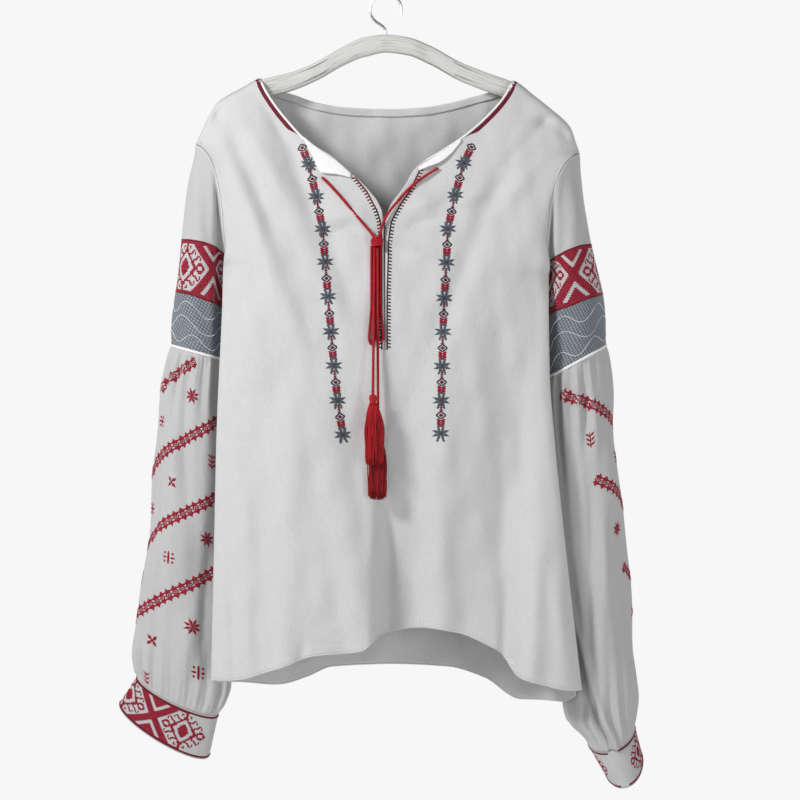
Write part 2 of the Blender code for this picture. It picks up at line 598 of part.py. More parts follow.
def add_front(finish):
    """The front panel, slit down from the neck: the slit's edge has a point for each side."""
    grid = front_grid()
    rows, columns = grid.shape[:2]
    middle = columns // 2
    points = [tuple(p) for p in grid.reshape(-1, 3)]
    copies = {}
    for row in range(SLIT_END_ROW):
        x, y, z = grid[row, middle]
        gap = SLIT_GAP / 2 * (1 - 0.6 * row / SLIT_END_ROW)
        points[row * columns + middle] = (SLIT_X - gap, y, z)
        copies[row] = len(points)
        points.append((SLIT_X + gap, y, z))
    faces = []
    for row in range(rows - 1):
        for column in range(columns - 1):
            corners = [(row, column), (row + 1, column), (row + 1, column + 1), (row, column + 1)]
            face = []
            for r, c in corners:
                right_edge = column >= middle and c == middle and r in copies
                face.append(copies[r] if right_edge else r * columns + c)
            faces.append(tuple(face))
    return thicken(add_object("blouse_front", points, split_quads(points, faces), finish))


def off_cloth(x, z, away):
    """A point that stands off the front panel."""
    return (x, float(front_depth(np.array([x]), np.array([z]))[0]) - away, z)


def smooth_route(points, spacing):
    """Points at an even spacing on a smooth curve through a route's own points."""
    keys = np.array(points, float)
    lengths = np.concatenate([[0], np.cumsum(np.linalg.norm(np.diff(keys, axis=0), axis=1))])
    count = max(3, int(round(lengths[-1] / spacing)) + 1)
    return smooth(lengths, keys, np.linspace(0, lengths[-1], count))


def add_cord(name, route, finish, width=CORD, spacing=CORD_SPACING):
    """A cord as a round tube along a route."""
    points = smooth_route(route, spacing)
    curve = bpy.data.curves.new(name, "CURVE")
    curve.dimensions = "3D"
    curve.bevel_depth = width / 2 * MM
    curve.bevel_resolution = 2
    curve.use_fill_caps = True
    spline = curve.splines.new("POLY")
    spline.points.add(len(points) - 1)
    for place, point in zip(spline.points, points):
        place.co = (*(float(v) * MM for v in point), 1.0)
    curve.materials.append(finish)
    made = bpy.data.objects.new(name, curve)
    bpy.context.scene.collection.objects.link(made)
    return made


def knot_under(x, away):
    """The height just below the knot, over a cord's whole width."""
    lowest = KNOT_CENTRE[1]
    for dx in (-CORD / 2, 0.0, CORD / 2):
        for dy in (-CORD / 2, 0.0, CORD / 2):
            across = (x + dx - KNOT_CENTRE[0]) / KNOT_HALF[0]
            deep = (away + dy - KNOT_CENTRE[2]) / KNOT_HALF[1]
            bulge = math.sqrt(max(1 - across**2 - deep**2, 0.0))
            lowest = min(lowest, KNOT_CENTRE[1] - KNOT_HALF[2] * (1 + KNOT_LUMPS) * bulge)
    return lowest - 2 * SEAM


def loop_route(left, right, middle, radius, lowest):
    """A hanging loop: down one strand, round its wider end and up the other."""
    turn = lowest + radius
    start = (knot_under(left, LOOP_AWAY), knot_under(right, LOOP_AWAY))
    route = []
    for side, top_x, top_z in ((-1, left, start[0]), (1, right, start[1])):
        strand = []
        for share in np.linspace(0, 1, 9):
            x = top_x + (middle + side * radius - top_x) * ease((share - 0.6) / 0.4)
            strand.append(off_cloth(float(x), top_z + (turn - top_z) * share, LOOP_AWAY))
        route += strand if side < 0 else strand[::-1]
        if side < 0:
            for angle in (225.0, 270.0, 315.0):
                a = math.radians(angle)
                route.append(off_cloth(middle + radius * math.cos(a), turn + radius * math.sin(a), LOOP_AWAY))
    return route


def tail_route(top_x, end_x, end_z, end_away):
    """A cord's hanging end, from the knot to its tassel."""
    top_z = knot_under(top_x, TAIL_AWAY)
    return [off_cloth(top_x + (end_x - top_x) * t, top_z + (end_z - top_z) * t,
                      TAIL_AWAY + (end_away - TAIL_AWAY) * t**2) for t in np.linspace(0, 1, 10)]


def add_knot(finish):
    """The knot that ties the two cord ends together."""
    x, z, away = KNOT_CENTRE
    centre = off_cloth(x, z, away)
    form = bmesh.new()
    bmesh.ops.create_uvsphere(form, u_segments=12, v_segments=8, radius=1.0)
    for corner in form.verts:
        lump = 1.0 + KNOT_LUMPS * math.sin(3 * math.atan2(corner.co.z, corner.co.x))
        corner.co = [c + v * h * lump for c, v, h in zip(centre, corner.co, KNOT_HALF)]
        corner.co *= MM
    mesh = bpy.data.meshes.new("cord_knot")
    form.to_mesh(mesh)
    form.free()
    mesh.materials.append(finish)
    mesh.shade_smooth()
    made = bpy.data.objects.new("cord_knot", mesh)
    bpy.context.scene.collection.objects.link(made)
    return made


def cell_rim(across):
    """The places round the outside of a square grid of corners, in order."""
    side = across + 1
    top = list(range(side))
    right = [row * side + across for row in range(1, side)]
    bottom = [across * side + i for i in range(across - 1, -1, -1)]
    left = [row * side for row in range(across - 1, 0, -1)]
    return top + right + bottom + left


def add_tassel(name, x, top, away, bottom, finish):
    """A tassel: a small head whose underside carries strands that spread as they fall."""
    side = TASSEL_ACROSS + 1
    rim = cell_rim(TASSEL_ACROSS)
    base_y = off_cloth(x, top - TASSEL_HEAD_HIGH, away)[1]
    spread = np.linspace(-1, 1, side) * TASSEL_HEAD_HALF
    form = bmesh.new()
    levels = []
    for down, wide in zip(HEAD_WIDTH["down"], HEAD_WIDTH["wide"]):
        z = top - TASSEL_HEAD_HIGH * down
        level = [(x + across * wide, base_y + deep * wide * TASSEL_FLATNESS, z)
                 for deep in spread for across in spread]
        levels.append(level)
    rings = [[form.verts.new(level[i]) for i in rim] for level in levels[:-1]]
    under = [form.verts.new(corner) for corner in levels[-1]]
    rings.append([under[i] for i in rim])
    form.faces.new(rings[0])
    for above, below in zip(rings[:-1], rings[1:]):
        for i in range(len(rim)):
            after = (i + 1) % len(rim)
            form.faces.new((above[after], above[i], below[i], below[after]))
    cells = []
    for row in range(TASSEL_ACROSS):
        for i in range(TASSEL_ACROSS):
            corner = row * side + i
            cells.append(form.faces.new((under[corner], under[corner + 1],
                                         under[corner + side + 1], under[corner + side])))
    bmesh.ops.recalc_face_normals(form, faces=form.faces[:])
    for place, cell in enumerate(cells):
        row, i = divmod(place, TASSEL_ACROSS)
        spread_strand(form, cell, i, row, (x, base_y, top - TASSEL_HEAD_HIGH), bottom)
    for corner in form.verts:
        corner.co *= MM
    mesh = bpy.data.meshes.new(name)
    form.to_mesh(mesh)
    form.free()
    mesh.materials.append(finish)
    made = bpy.data.objects.new(name, mesh)
    bpy.context.scene.collection.objects.link(made)
    return made


def spread_strand(form, cell, i, row, start, bottom):
    """Draw one strand down from a cell of the tassel head's underside."""
    bmesh.ops.inset_individual(form, faces=[cell], thickness=STRAND_INSET)
    face = cell
    x, y, top = start
    across = 2 * (i + 0.5) / TASSEL_ACROSS - 1
    deep = (2 * (row + 0.5) / TASSEL_ACROSS - 1) * STRAND_FLATNESS
    end = bottom + STRAND_UNEVEN * math.sin(2.1 * i + 3.7 * row)
    for down, wide, thick in zip(STRAND_WIDTH["down"], STRAND_WIDTH["wide"], STRAND_WIDTH["thick"]):
        made = bmesh.ops.extrude_discrete_faces(form, faces=[face])
        face = made["faces"][0]
        middle = face.calc_center_median()
        for corner in face.verts:
            dx = math.copysign(thick, corner.co.x - middle.x)
            dy = math.copysign(thick * STRAND_THIN, corner.co.y - middle.y)
            corner.co = (x + across * wide + dx, y + deep * wide + dy, top + (end - top) * down)


def add_bar(wood):
    """The hanger's wooden bar with rounded edges."""
    section = [(math.cos(a) * BAR_THICK / 2, math.sin(a)) for a in np.arange(BAR_SIDES) / BAR_SIDES * 2 * math.pi]
    places = np.concatenate([np.linspace(BAR_TOP["x"][0], 0, BAR_STATIONS),
                             np.linspace(0, BAR_TOP["x"][-1], BAR_STATIONS)[1:]])
    tops = smooth(BAR_TOP["x"], BAR_TOP["z"], places)
    highs = smooth(BAR_TOP["x"], BAR_TOP["high"], places)
    points = []
    for x, z, high in zip(places, tops, highs):
        narrow = min(1.0, BAR_TIP_NARROW + (1 - BAR_TIP_NARROW) * (high - BAR_TIP_HIGH) / BAR_TIP_HIGH)
        points += [(x, y * narrow, z - high / 2 + up * high / 2) for y, up in section]
    faces = [tuple(reversed(range(BAR_SIDES))), tuple(range(len(points) - BAR_SIDES, len(points)))]
    for station in range(len(places) - 1):
        start = station * BAR_SIDES
        for i in range(BAR_SIDES):
            after = (i + 1) % BAR_SIDES
            faces.append((start + i, start + after, start + BAR_SIDES + after, start + BAR_SIDES + i))
    add_object("hanger_bar", points, faces, wood)


def add_hook(metal):
    """The hanger's wire hook, whose inner top is the origin."""
    radius = HOOK_INNER + WIRE / 2
    bar_top = float(smooth(BAR_TOP["x"], BAR_TOP["z"], 0.0))
    route = [(0.0, 0.0, bar_top + SEAM), (0.0, 0.0, bar_top + HOOK_NECK / 2),
             (-HOOK_LEAN, 0.0, bar_top + HOOK_NECK)]
    for angle in np.radians(np.linspace(HOOK_START, HOOK_END, 15)):
        route.append((radius * math.cos(angle), 0.0, radius * math.sin(angle) - HOOK_INNER))
    add_cord("hanger_hook", route, metal, WIRE, HOOK_SPACING)


def build():
    """Empty the scene and build every piece."""
    for old in list(bpy.data.objects):
        bpy.data.objects.remove(old, do_unlink=True)
    cloth = material("white_cotton", (0.80, 0.80, 0.79), 0.85)
    facing = material("facing_cotton", (0.84, 0.84, 0.83), 0.85)
    red_band = material("cuff_embroidery", (0.36, 0.10, 0.13), 0.8)
    cord = material("red_cord", (0.45, 0.03, 0.04), 0.7)
    wood = material("whitewashed_wood", (0.66, 0.64, 0.60), 0.75)
    metal = material("bright_steel", (0.72, 0.72, 0.72), 0.3, 1.0)
    add_bar(wood)
    add_hook(metal)
    add_front(cloth)
    add_sheet("blouse_back", back_grid(), cloth)
    add_sheet("neck_facing_back", facing_grid(), facing)
    for side, word in ((-1, "left"), (1, "right")):
        add_sheet("sleeve_upper_" + word, upper_sleeve_grid(side), cloth, closed=True)
        add_sheet("sleeve_lower_" + word, lower_sleeve_grid(side), cloth, closed=True)
        add_sheet("cuff_" + word, cuff_grid(side), red_band, closed=True)
        add_sheet("neck_flap_" + word, flap_grid(side), facing)
    add_cord("cord_left", [off_cloth(*p) for p in LEFT_CORD], cord)
    add_cord("cord_right", [off_cloth(*p) for p in RIGHT_CORD], cord)
    add_knot(cord)
    for word, sizes in LOOPS.items():
        add_cord("cord_loop_" + word, loop_route(*sizes), cord)
    for word, sizes in TAILS.items():
        add_cord("cord_tail_" + word, tail_route(*sizes), cord)
    for word, (x, top, away, bottom) in TASSELS.items():
        add_tassel("tassel_" + word, x, top, away, bottom, cord)


build()
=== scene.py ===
"""The looks of an embroidered peasant blouse on a wooden hanger.

The frame's axes are +Z up and -Y the way the front faces. Sizes are in millimetres unless a name says
otherwise, and become metres when a piece is made.
"""
import math

import bpy
import numpy as np
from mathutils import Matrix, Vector
from mathutils.bvhtree import BVHTree


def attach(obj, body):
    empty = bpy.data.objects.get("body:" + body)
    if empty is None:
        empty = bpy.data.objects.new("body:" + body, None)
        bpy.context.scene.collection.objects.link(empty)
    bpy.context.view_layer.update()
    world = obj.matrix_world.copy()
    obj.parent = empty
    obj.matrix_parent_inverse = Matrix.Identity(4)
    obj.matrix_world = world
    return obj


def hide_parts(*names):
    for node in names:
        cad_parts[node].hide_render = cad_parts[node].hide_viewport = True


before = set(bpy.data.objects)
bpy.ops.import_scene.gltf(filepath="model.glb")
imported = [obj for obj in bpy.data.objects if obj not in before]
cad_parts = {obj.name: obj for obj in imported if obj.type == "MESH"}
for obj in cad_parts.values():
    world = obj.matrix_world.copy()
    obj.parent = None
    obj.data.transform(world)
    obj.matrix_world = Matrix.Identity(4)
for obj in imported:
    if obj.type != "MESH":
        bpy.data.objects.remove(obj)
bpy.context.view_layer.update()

MM = 0.001


def table(columns, rows):
    """A short table's columns by name."""
    values = np.array(rows, float)
    return {name: values[:, place] for place, name in enumerate(columns.split())}


# Cloth
WALL = 1.0
PANEL_ROWS = 170
PANEL_COLUMNS = 66
COLUMN_ARC = 1.5
TURN_COLUMNS = 200
ARM_COLUMNS = 96
UPPER_ROWS = 90
LOWER_ROWS = 120
CUFF_ROWS = 16
GATHERS = 16
FINE_GATHERS = 44
SLEEVE_SEAM = 0.6

# The shoulder line, end to end, and the neck hole's front and back edges
RIDGE = table("x z", [
    (-208.6, -163.7), (-201.3, -148.2), (-193.8, -132), (-186.2, -119.6), (-176, -112),
    (-157.6, -101.9), (-137.5, -91.3), (0, -71.5), (138.6, -93.5), (161.7, -110),
    (182.6, -126.8), (195.4, -137.5), (203.8, -148), (207.9, -160.6), (212.3, -173.1)])
FRONT_NECK = table("x z", [
    (-137.5, -91.3), (-134.2, -100.1), (-125.4, -115.5), (-108.9, -137.5), (-83, -165),
    (-60.9, -178.9), (-35.2, -200.6), (-16, -220), (-4.4, -239.3), (-1.5, -256),
    (1.1, -240.2), (8.3, -228.8), (20.6, -212.3), (30.8, -194.3), (39.6, -186.4),
    (61.6, -172.7), (85.8, -156.2), (119.9, -124.3), (132, -107.8), (138.6, -93.5)])
BACK_NECK = table("x z", [
    (-137.5, -91.3), (-120, -102.5), (-99.5, -108.9), (-76.5, -116.4), (-34.3, -122.1),
    (3.3, -123.2), (39.4, -121.7), (70.9, -116.4), (100.3, -108.9), (121, -103.5), (138.6, -93.5)])
FRONT_HEM = table("x z", [
    (-190, -750), (-158, -749), (-113, -736), (-74, -721), (-25, -716),
    (-6, -700), (38, -693), (77, -699), (106, -712), (122, -722),
    (136, -744), (154, -751), (190, -760), (213, -761)])
BACK_HEM = table("x z", [
    (-190, -752), (-120, -764), (-90, -756), (-60, -744), (0, -742),
    (70, -744), (110, -756), (150, -780), (190, -778), (213, -764)])

# A panel's side edge on the left and on the right: the armhole down to the underarm, then the side seam
FRONT_EDGE = {
    -1: table("z x y", [
        (-163.7, -208.6, 0), (-169, -201, -13), (-178, -193, -20), (-200, -184.5, -24),
        (-230, -179, -23), (-269.6, -176, -16), (-284, -173.8, -11), (-293.7, -172, -5),
        (-297, -171.3, 2), (-330, -172, -12), (-480, -178, -20), (-620, -181, -21),
        (-750, -184, -20)]),
    1: table("z x y", [
        (-173.1, 212.3, 0), (-178, 204.5, -13), (-187, 195.5, -20), (-208, 185, -24),
        (-238, 178.5, -23), (-279.1, 175.5, -16), (-293.5, 173.7, -11), (-303.2, 172.2, -5),
        (-306.5, 171.5, 2), (-340, 171.5, -12), (-420, 172.5, -18), (-482, 177, -20),
        (-612, 190, -21), (-761, 207, -21)])}
BACK_EDGE = {
    -1: table("z x y", [
        (-163.7, -208.6, 0), (-169, -206, 15), (-178, -200, 27), (-200, -191, 37),
        (-230, -181, 38), (-269.6, -174.5, 30), (-284, -173, 21), (-293.7, -171.8, 11),
        (-297, -171.3, 2), (-330, -172, -12), (-480, -178, -20), (-620, -181, -21),
        (-750, -184, -20)]),
    1: table("z x y", [
        (-173.1, 212.3, 0), (-178, 209.5, 15), (-187, 203, 27), (-208, 193, 37),
        (-238, 181.5, 38), (-279.1, 174.5, 30), (-293.5, 173, 21), (-303.2, 172, 11),
        (-306.5, 171.5, 2), (-340, 171.5, -12), (-420, 172.5, -18), (-482, 177, -20),
        (-612, 190, -21), (-761, 207, -21)])}
# The front's side rolls outwards past its seam, below the underarm
LIP = 6.0
LIP_OUT = 0.972
LIP_START = -262.0
LIP_FULL = -305.0

# How far a panel stands out from the shoulder line at its middle, by height
FRONT_DEPTH = table("z depth", [
    (-70, 36), (-260, 47), (-400, 56), (-560, 60), (-760, 66)])
BACK_DEPTH = table("z depth", [
    (-70, 44), (-260, 54), (-400, 56), (-560, 60), (-780, 64)])
# The back below the underarm turns in behind the sleeve: share of the way out, share of the depth
BACK_TUCK = table("out depth", [
    (0, 1), (0.3, 0.99), (0.6, 0.93), (0.78, 0.80), (0.87, 0.58), (0.92, 0.36),
    (0.955, 0.16), (1, 0)])
TUCK_TOP = -235.0
TUCK_FALL = 85.0
# A panel's inner part: half its width at the chest, the chest's height, and the rise to the shoulders
CHEST_HALF = 173.0
CHEST_LEVEL = -340.0
CHEST_RISE = 210.0
# How soon the cloth stands out in full below the shoulder line, and how round the shoulder is
DROP_LENGTH = 125.0
SHOULDER_ROUND = 9.0

# Soft folds: a line from (x, top) that leans sideways as it falls, out is towards the viewer
FRONT_FOLDS = table("x top bottom lean width out", [
    (-178, 150, 330, 0.35, 13, 5),
    (-128, 120, 300, 0.42, 15, -4),
    (-98, 330, 740, -0.03, 26, 5),
    (-140, 420, 740, 0.02, 20, -4),
    (-46, 420, 700, 0.02, 22, -5),
    (64, 340, 690, -0.02, 20, 5),
    (150, 140, 330, -0.40, 14, -4),
    (118, 300, 620, 0.05, 18, -4),
    (160, 400, 740, 0.12, 15, 5)])
BACK_FOLDS = table("x top bottom lean width out", [
    (-120, 170, 620, 0.03, 24, 5),
    (-60, 260, 740, -0.02, 22, -5),
    (10, 180, 740, 0.01, 26, 5),
    (70, 300, 740, 0.03, 22, -5),
    (125, 200, 700, 0.06, 24, 5)])
# The front hem's middle hangs further back than its two sides
LOBE_LEFT = -18.0
LOBE_RIGHT = 124.0
LOBE_TURN = 24.0
LOBE_BACK = 32.0
LOBE_TOP = -470.0
LOBE_FULL = -700.0

# The front slit
SLIT_X = -1.5
SLIT_GAP = 2.2
SLIT_BOTTOM = -393.0

# Sleeve rings, each from an outer to an inner point, with its middle's depth and half its thickness,
# and how much lower its front is than its sides
RING_COLUMNS = "outer_x outer_z inner_x inner_z middle half dip"
UPPER_RINGS = {
    -1: table(RING_COLUMNS, [
        (-216.5, -203, -178, -304, 14, 38, 0),
        (-225.5, -267, -176, -320, 19, 43, -3),
        (-233, -324, -174, -351, 25, 46, 0),
        (-237.6, -385, -172, -403, 27, 46, 0)]),
    1: table(RING_COLUMNS, [
        (216.5, -213, 177.5, -313.5, 14, 38, 0),
        (226, -273, 175.5, -329, 19, 43, -3),
        (239, -327, 173.5, -368, 25, 46, 0),
        (243.5, -385, 172, -424, 27, 46, 0)])}
LOWER_RINGS = {
    -1: table(RING_COLUMNS, [
        (-237.6, -385, -172, -403, 27, 46, 0),
        (-248, -432, -171.5, -450, 29, 47, 0),
        (-255, -510, -173, -530, 29, 48, 0),
        (-263, -600, -174, -622, 27, 47, 0),
        (-275, -688, -173, -712, 22, 41, 3),
        (-278, -724, -173, -757, 12, 29, 8),
        (-275.5, -742, -179, -780, 2, 18, 10),
        (-272.8, -750, -184.8, -790, 0, 15, 10)]),
    1: table(RING_COLUMNS, [
        (243.5, -385, 172, -424, 27, 46, 0),
        (250, -440, 172, -474, 29, 47, 0),
        (257, -522, 176, -550, 29, 48, 0),
        (264.5, -612, 185.5, -642, 28, 48, 0),
        (273, -700, 194, -734, 26, 47, 3),
        (277, -772, 200.5, -796, 20, 44, 8),
        (274.5, -796, 218.5, -814, 15, 40, 12),
        (273.9, -806, 223.3, -823, 14, 38, 14)])}
CUFF_RINGS = {
    -1: table(RING_COLUMNS, [
        (-272.8, -750, -184.8, -790, 0, 15, 10),
        (-293, -781, -195, -836, -2, 15, 14)]),
    1: table(RING_COLUMNS, [
        (273.9, -806, 223.3, -823, 14, 38, 14),
        (282.7, -842, 243, -854, 10, 38, 20)])}
UPPER_STATIONS = (0.0, 0.28, 0.5, 0.73, 1.0)
# A gather's height along the lower sleeve: share of the way down, height
GATHER_HEIGHT = table("down height", [
    (0, 0.35), (0.035, 2), (0.13, 3), (0.36, 1.8), (0.62, 1.6), (0.86, 3),
    (0.965, 1.5), (1, 0.15)])

# The turned-out facing at each side of the neck: an upper and a lower edge, and how proud it stands
FLAPS = {
    -1: table("upper_x upper_z lower_x lower_z proud", [
        (-91, -157.5, -90, -161, 1.8), (-80, -166.5, -80, -180, 2.4),
        (-66, -176.5, -70, -198, 3.2), (-50, -188, -53, -200, 3.6),
        (-38, -199.5, -38.5, -203.5, 2.4)]),
    1: table("upper_x upper_z lower_x lower_z proud", [
        (82, -160.5, 82, -163.5, 1.8), (68, -170.5, 70, -178, 2.6),
        (55, -178.5, 58, -187, 3), (43, -187, 46, -191.5, 2.6),
        (35, -192.5, 36.5, -195.5, 1.9)])}
# The hanger's upper edge from tip to tip, and how far below it the lower edge lies
BAR_TOP = table("x z high", [
    (-191, -131.5, 12), (-186, -122.3, 17), (-176, -114.3, 20), (-157.6, -104, 21),
    (-137.5, -93.4, 21), (-108, -86, 21), (-76.5, -73.5, 21), (-48, -57, 21.5),
    (-24, -46.5, 22), (0, -43.5, 20), (24, -46.5, 20), (48, -55.5, 21),
    (80, -73, 21), (110, -85, 21), (138.6, -95.7, 21), (161.7, -112.3, 20),
    (182.6, -129.3, 17), (194, -142, 10)])
BAR_THICK = 10.0

# Drawstring
CORD = 2.6
CORD_SPACING = 8.4
SEAM = 0.3
# The drawstring's routes: x, z and how far the cord's middle stands off the cloth
LEFT_CORD = ((-69.5, -203.0, 2.6), (-62.0, -210.5, 2.6), (-50.0, -223.5, 2.9), (-37.0, -239.0, 3.4),
             (-25.0, -253.5, 4.2), (-15.6, -264.8, 5.4))
RIGHT_CORD = ((57.0, -193.0, 2.6), (48.0, -198.5, 2.7), (35.0, -207.5, 3.0), (23.0, -218.0, 3.3),
              (12.0, -231.0, 3.7), (2.5, -243.0, 4.1), (-3.0, -254.0, 4.8), (-6.2, -264.8, 5.6))
KNOT_CENTRE = (-10.4, -273.6, 6.6)
KNOT_HALF = (7.6, 5.2, 5.6)
KNOT_LUMPS = 0.06
# Each hanging loop: its two strands at the knot, its round end's middle, radius and lowest point
LOOPS = {"left": (-15.4, -12.2, -15.0, 3.1, -385.3), "right": (-8.9, -5.7, -5.6, 3.1, -383.2)}
LOOP_AWAY = 2.6
# Each tail: x at the knot and at its tassel, the height of its end, and how far off the cloth it ends
TAILS = {"upper": (-12.2, -13.7, -438.7, 17.4), "lower": (-8.9, -8.2, -477.7, 8.2)}
TAIL_AWAY = 5.7
# Each tassel: x, the height of its top, how far off the cloth it hangs, and the height of its strands' ends
TASSELS = {"upper": (-13.7, -439.3, 17.4, -515.0), "lower": (-8.2, -478.2, 8.2, -552.0)}
# Small creases and bulges of the front: a middle, a half length and half width, the way it runs, its height
CREASES = table("x z long wide angle out", [
    (-116, -150, 46, 7, -56, -3.2), (-100, -192, 40, 8, -68, -2.6),
    (-125, -198, 70, 12, -63.6, 4.9), (-142, -218, 60, 9, -66, -4.3),
    (-74, -252, 30, 7, 8, 2.3), (-52, -262, 22, 5, 30, -2.3),
    (-36, -243, 17, 8, -12, 4.3), (-32, -262, 16, 6, -20, -2.3),
    (44, -231, 17, 8, 14, 6.1), (40, -252, 17, 6, 10, -3.5),
    (84, -230, 26, 6, 20, 2.6), (30, -286, 30, 7, -18, 2.6),
    (136, -181, 55, 11, 48, 4.9), (152, -165, 40, 8, 46, -4.9),
    (150, -206, 50, 9, 50, 2.6), (-185, -133, 9, 6, 70, -5.8),
    (171, -141, 10, 5, 5, -6.5), (196, -154, 8, 5, -20, -4.3),
    (-60, -330, 30, 9, -60, 1.5), (70, -345, 40, 10, 74, -1.5),
    (-110, -430, 70, 30, 62, -4), (-140, -380, 80, 20, 80, 3),
    (-36, -635, 125, 17, 98, 10.5), (2, -655, 100, 7.5, 93, -8.5),
    (28, -560, 150, 26, 91, -5.5), (62, -640, 90, 14, 92, 3.5),
    (105, -500, 170, 22, 92, 4.5), (147, -520, 150, 13, 88, -4.5),
    (160, -690, 100, 13, 88, 8.5), (133, -695, 80, 7.5, 86, -7),
    (190, -690, 90, 14, 86, 4), (-92, -730, 28, 5, 80, -4),
    (-112, -722, 40, 10, 84, 3.5), (-165, -690, 70, 7, 92, -3.5),
    (-148, -680, 80, 11, 90, 3.5), (-150, -560, 90, 16, 84, 3),
    (-84, -560, 120, 16, 88, -3.5), (-78, -560, 190, 40, 93, 8),
    (128, -560, 210, 50, 89, -14), (-24, -420, 60, 14, 30, 1.5)])
# Slow waves over every panel: how long across and down, how high, and where they start
RIPPLES = table("across down out start", [
    (61, 173, 0.45, 0.4), (37, -96, 0.3, 2.1), (-83, 58, 0.35, 4.4), (23, 131, 0.18, 1.3)])

# Colours, as linear values
COTTON = (0.55, 0.55, 0.55)
FACING_WHITE = (0.80, 0.80, 0.80)
THREAD_RED = (0.225, 0.008, 0.024)
THREAD_MAROON = (0.115, 0.006, 0.018)
THREAD_BLACK = (0.022, 0.01, 0.014)
THREAD_GREY = (0.064, 0.074, 0.09)
GREY_GROUND = (0.17, 0.19, 0.215)
THREAD_SLATE = (0.036, 0.042, 0.052)
THREAD_WHITE = (0.72, 0.72, 0.73)
CORD_RED = (0.29, 0.007, 0.014)
TASSEL_RED = (0.25, 0.007, 0.011)
PAINTED_WOOD = (0.58, 0.575, 0.55)
BARE_WOOD = (0.33, 0.20, 0.10)
STEEL = (0.60, 0.60, 0.61)

# The photograph's view
CAMERA_AT = (15.4, -3000.0, -445.5)
SEEN_WIDTH = 880.0
SENSOR = 36.0


def smooth(known_x, known_y, at):
    """A smooth line through a table's values, or its points, that never overshoots them."""
    order = np.argsort(known_x)
    kx = np.asarray(known_x, float)[order]
    ky = np.asarray(known_y, float)[order]
    step = np.diff(kx)
    wide = step.reshape(-1, *([1] * (ky.ndim - 1)))
    slope = np.diff(ky, axis=0) / wide
    tangent = np.zeros(ky.shape)
    tangent[0] = slope[0]
    tangent[-1] = slope[-1]
    before, after = wide[:-1], wide[1:]
    with np.errstate(divide="ignore", invalid="ignore"):
        inner = (before + after) * 3 / ((2 * after + before) / slope[:-1] + (after + 2 * before) / slope[1:])
    tangent[1:-1] = np.where(slope[:-1] * slope[1:] > 0, inner, 0.0)
    x = np.clip(np.asarray(at, float), kx[0], kx[-1])
    i = np.clip(np.searchsorted(kx, x) - 1, 0, len(step) - 1)
    shape = x.shape + (1,) * (ky.ndim - 1)
    t = np.reshape((x - kx[i]) / step[i], shape)
    rise = ky[i] * (2 * t**3 - 3 * t**2 + 1) + ky[i + 1] * (3 * t**2 - 2 * t**3)
    bend = tangent[i] * (t**3 - 2 * t**2 + t) + tangent[i + 1] * (t**3 - t**2)
    return rise + np.reshape(step[i], shape) * bend


def ease(value):
    """Nought to one with a soft start and end."""
    t = np.clip(value, 0.0, 1.0)
    return t * t * (3 - 2 * t)


def half_width(out, z, edge):
    """Half the panel's width at a height, which changes more slowly away from its side edge."""
    at_edge = np.abs(smooth(edge["z"], edge["x"], z))
    shoulder = abs(edge["x"][np.argmax(edge["z"])])
    above = CHEST_HALF + (shoulder - CHEST_HALF) * ease((z - CHEST_LEVEL) / CHEST_RISE)
    inner = np.where(z > CHEST_LEVEL, above, at_edge)
    return inner + (at_edge - inner) * out**6


def panel_reach(out, z, edge, lip):
    """How far from the middle a column lies, with the side rolled out past its seam by a lip."""
    wide = half_width(out, z, edge)
    plain = out * wide
    if lip == 0.0:
        return plain
    rolled = (wide + lip) * min(out / LIP_OUT, 1.0)
    rolled = rolled + (plain - rolled) * ease((out - LIP_OUT) / (1 - LIP_OUT))
    return plain + (rolled - plain) * ease((LIP_START - z) / (LIP_START - LIP_FULL))


def fold_height(folds, x, z):
    """What the soft folds add to a panel's depth."""
    total = np.zeros(np.broadcast(x, z).shape)
    for start_x, down_from, down_to, lean, width, out in zip(*folds.values()):
        top, bottom = -down_from, -down_to
        middle = start_x + lean * (top - z)
        length = top - bottom
        window = ease((top - z) / (0.35 * length)) * ease((z - bottom + 0.5 * length) / (0.5 * length))
        total = total + out * window * np.exp(-((x - middle) / width) ** 2)
    return total


def stand_out(depths, x, z):
    """How far the cloth stands out of the shoulder line's plane, below a rounded shoulder."""
    drop = np.maximum(smooth(RIDGE["x"], RIDGE["z"], x) - z, 0.0)
    round_part = np.minimum(drop, SHOULDER_ROUND) / SHOULDER_ROUND
    rim = SHOULDER_ROUND * np.sqrt(np.maximum(1 - (1 - round_part) ** 2, 0.0))
    full = smooth(depths["z"], depths["depth"], z)
    return rim + (full - SHOULDER_ROUND) * (1 - np.exp(-drop / DROP_LENGTH))


def hem_lobe(x, z):
    """How far back the middle of the front hem hangs."""
    across = ease((x - LOBE_LEFT) / LOBE_TURN) - ease((x - LOBE_RIGHT) / LOBE_TURN)
    return LOBE_BACK * across * ease((LOBE_TOP - z) / (LOBE_TOP - LOBE_FULL))


def edge_at(edges, axis, x, z):
    """A side edge's x or y at a height, on the side where a place lies."""
    left, right = [smooth(edges[side]["z"], edges[side][axis], z) for side in (-1, 1)]
    return np.where(x < 0, left, right)


def front_depth(x, z, out=None):
    """The front panel's y at a place, in its own plane of x and z."""
    edge_y = edge_at(FRONT_EDGE, "y", x, z)
    if out is None:
        out = np.clip(np.abs(x / edge_at(FRONT_EDGE, "x", x, z)), 0.0, 1.0)
    lens = np.sqrt(np.maximum(1 - out**4, 0.0))
    folded = stand_out(FRONT_DEPTH, x, z) + fold_height(FRONT_FOLDS, x, z) - hem_lobe(x, z)
    return edge_y - (folded + edge_y) * lens


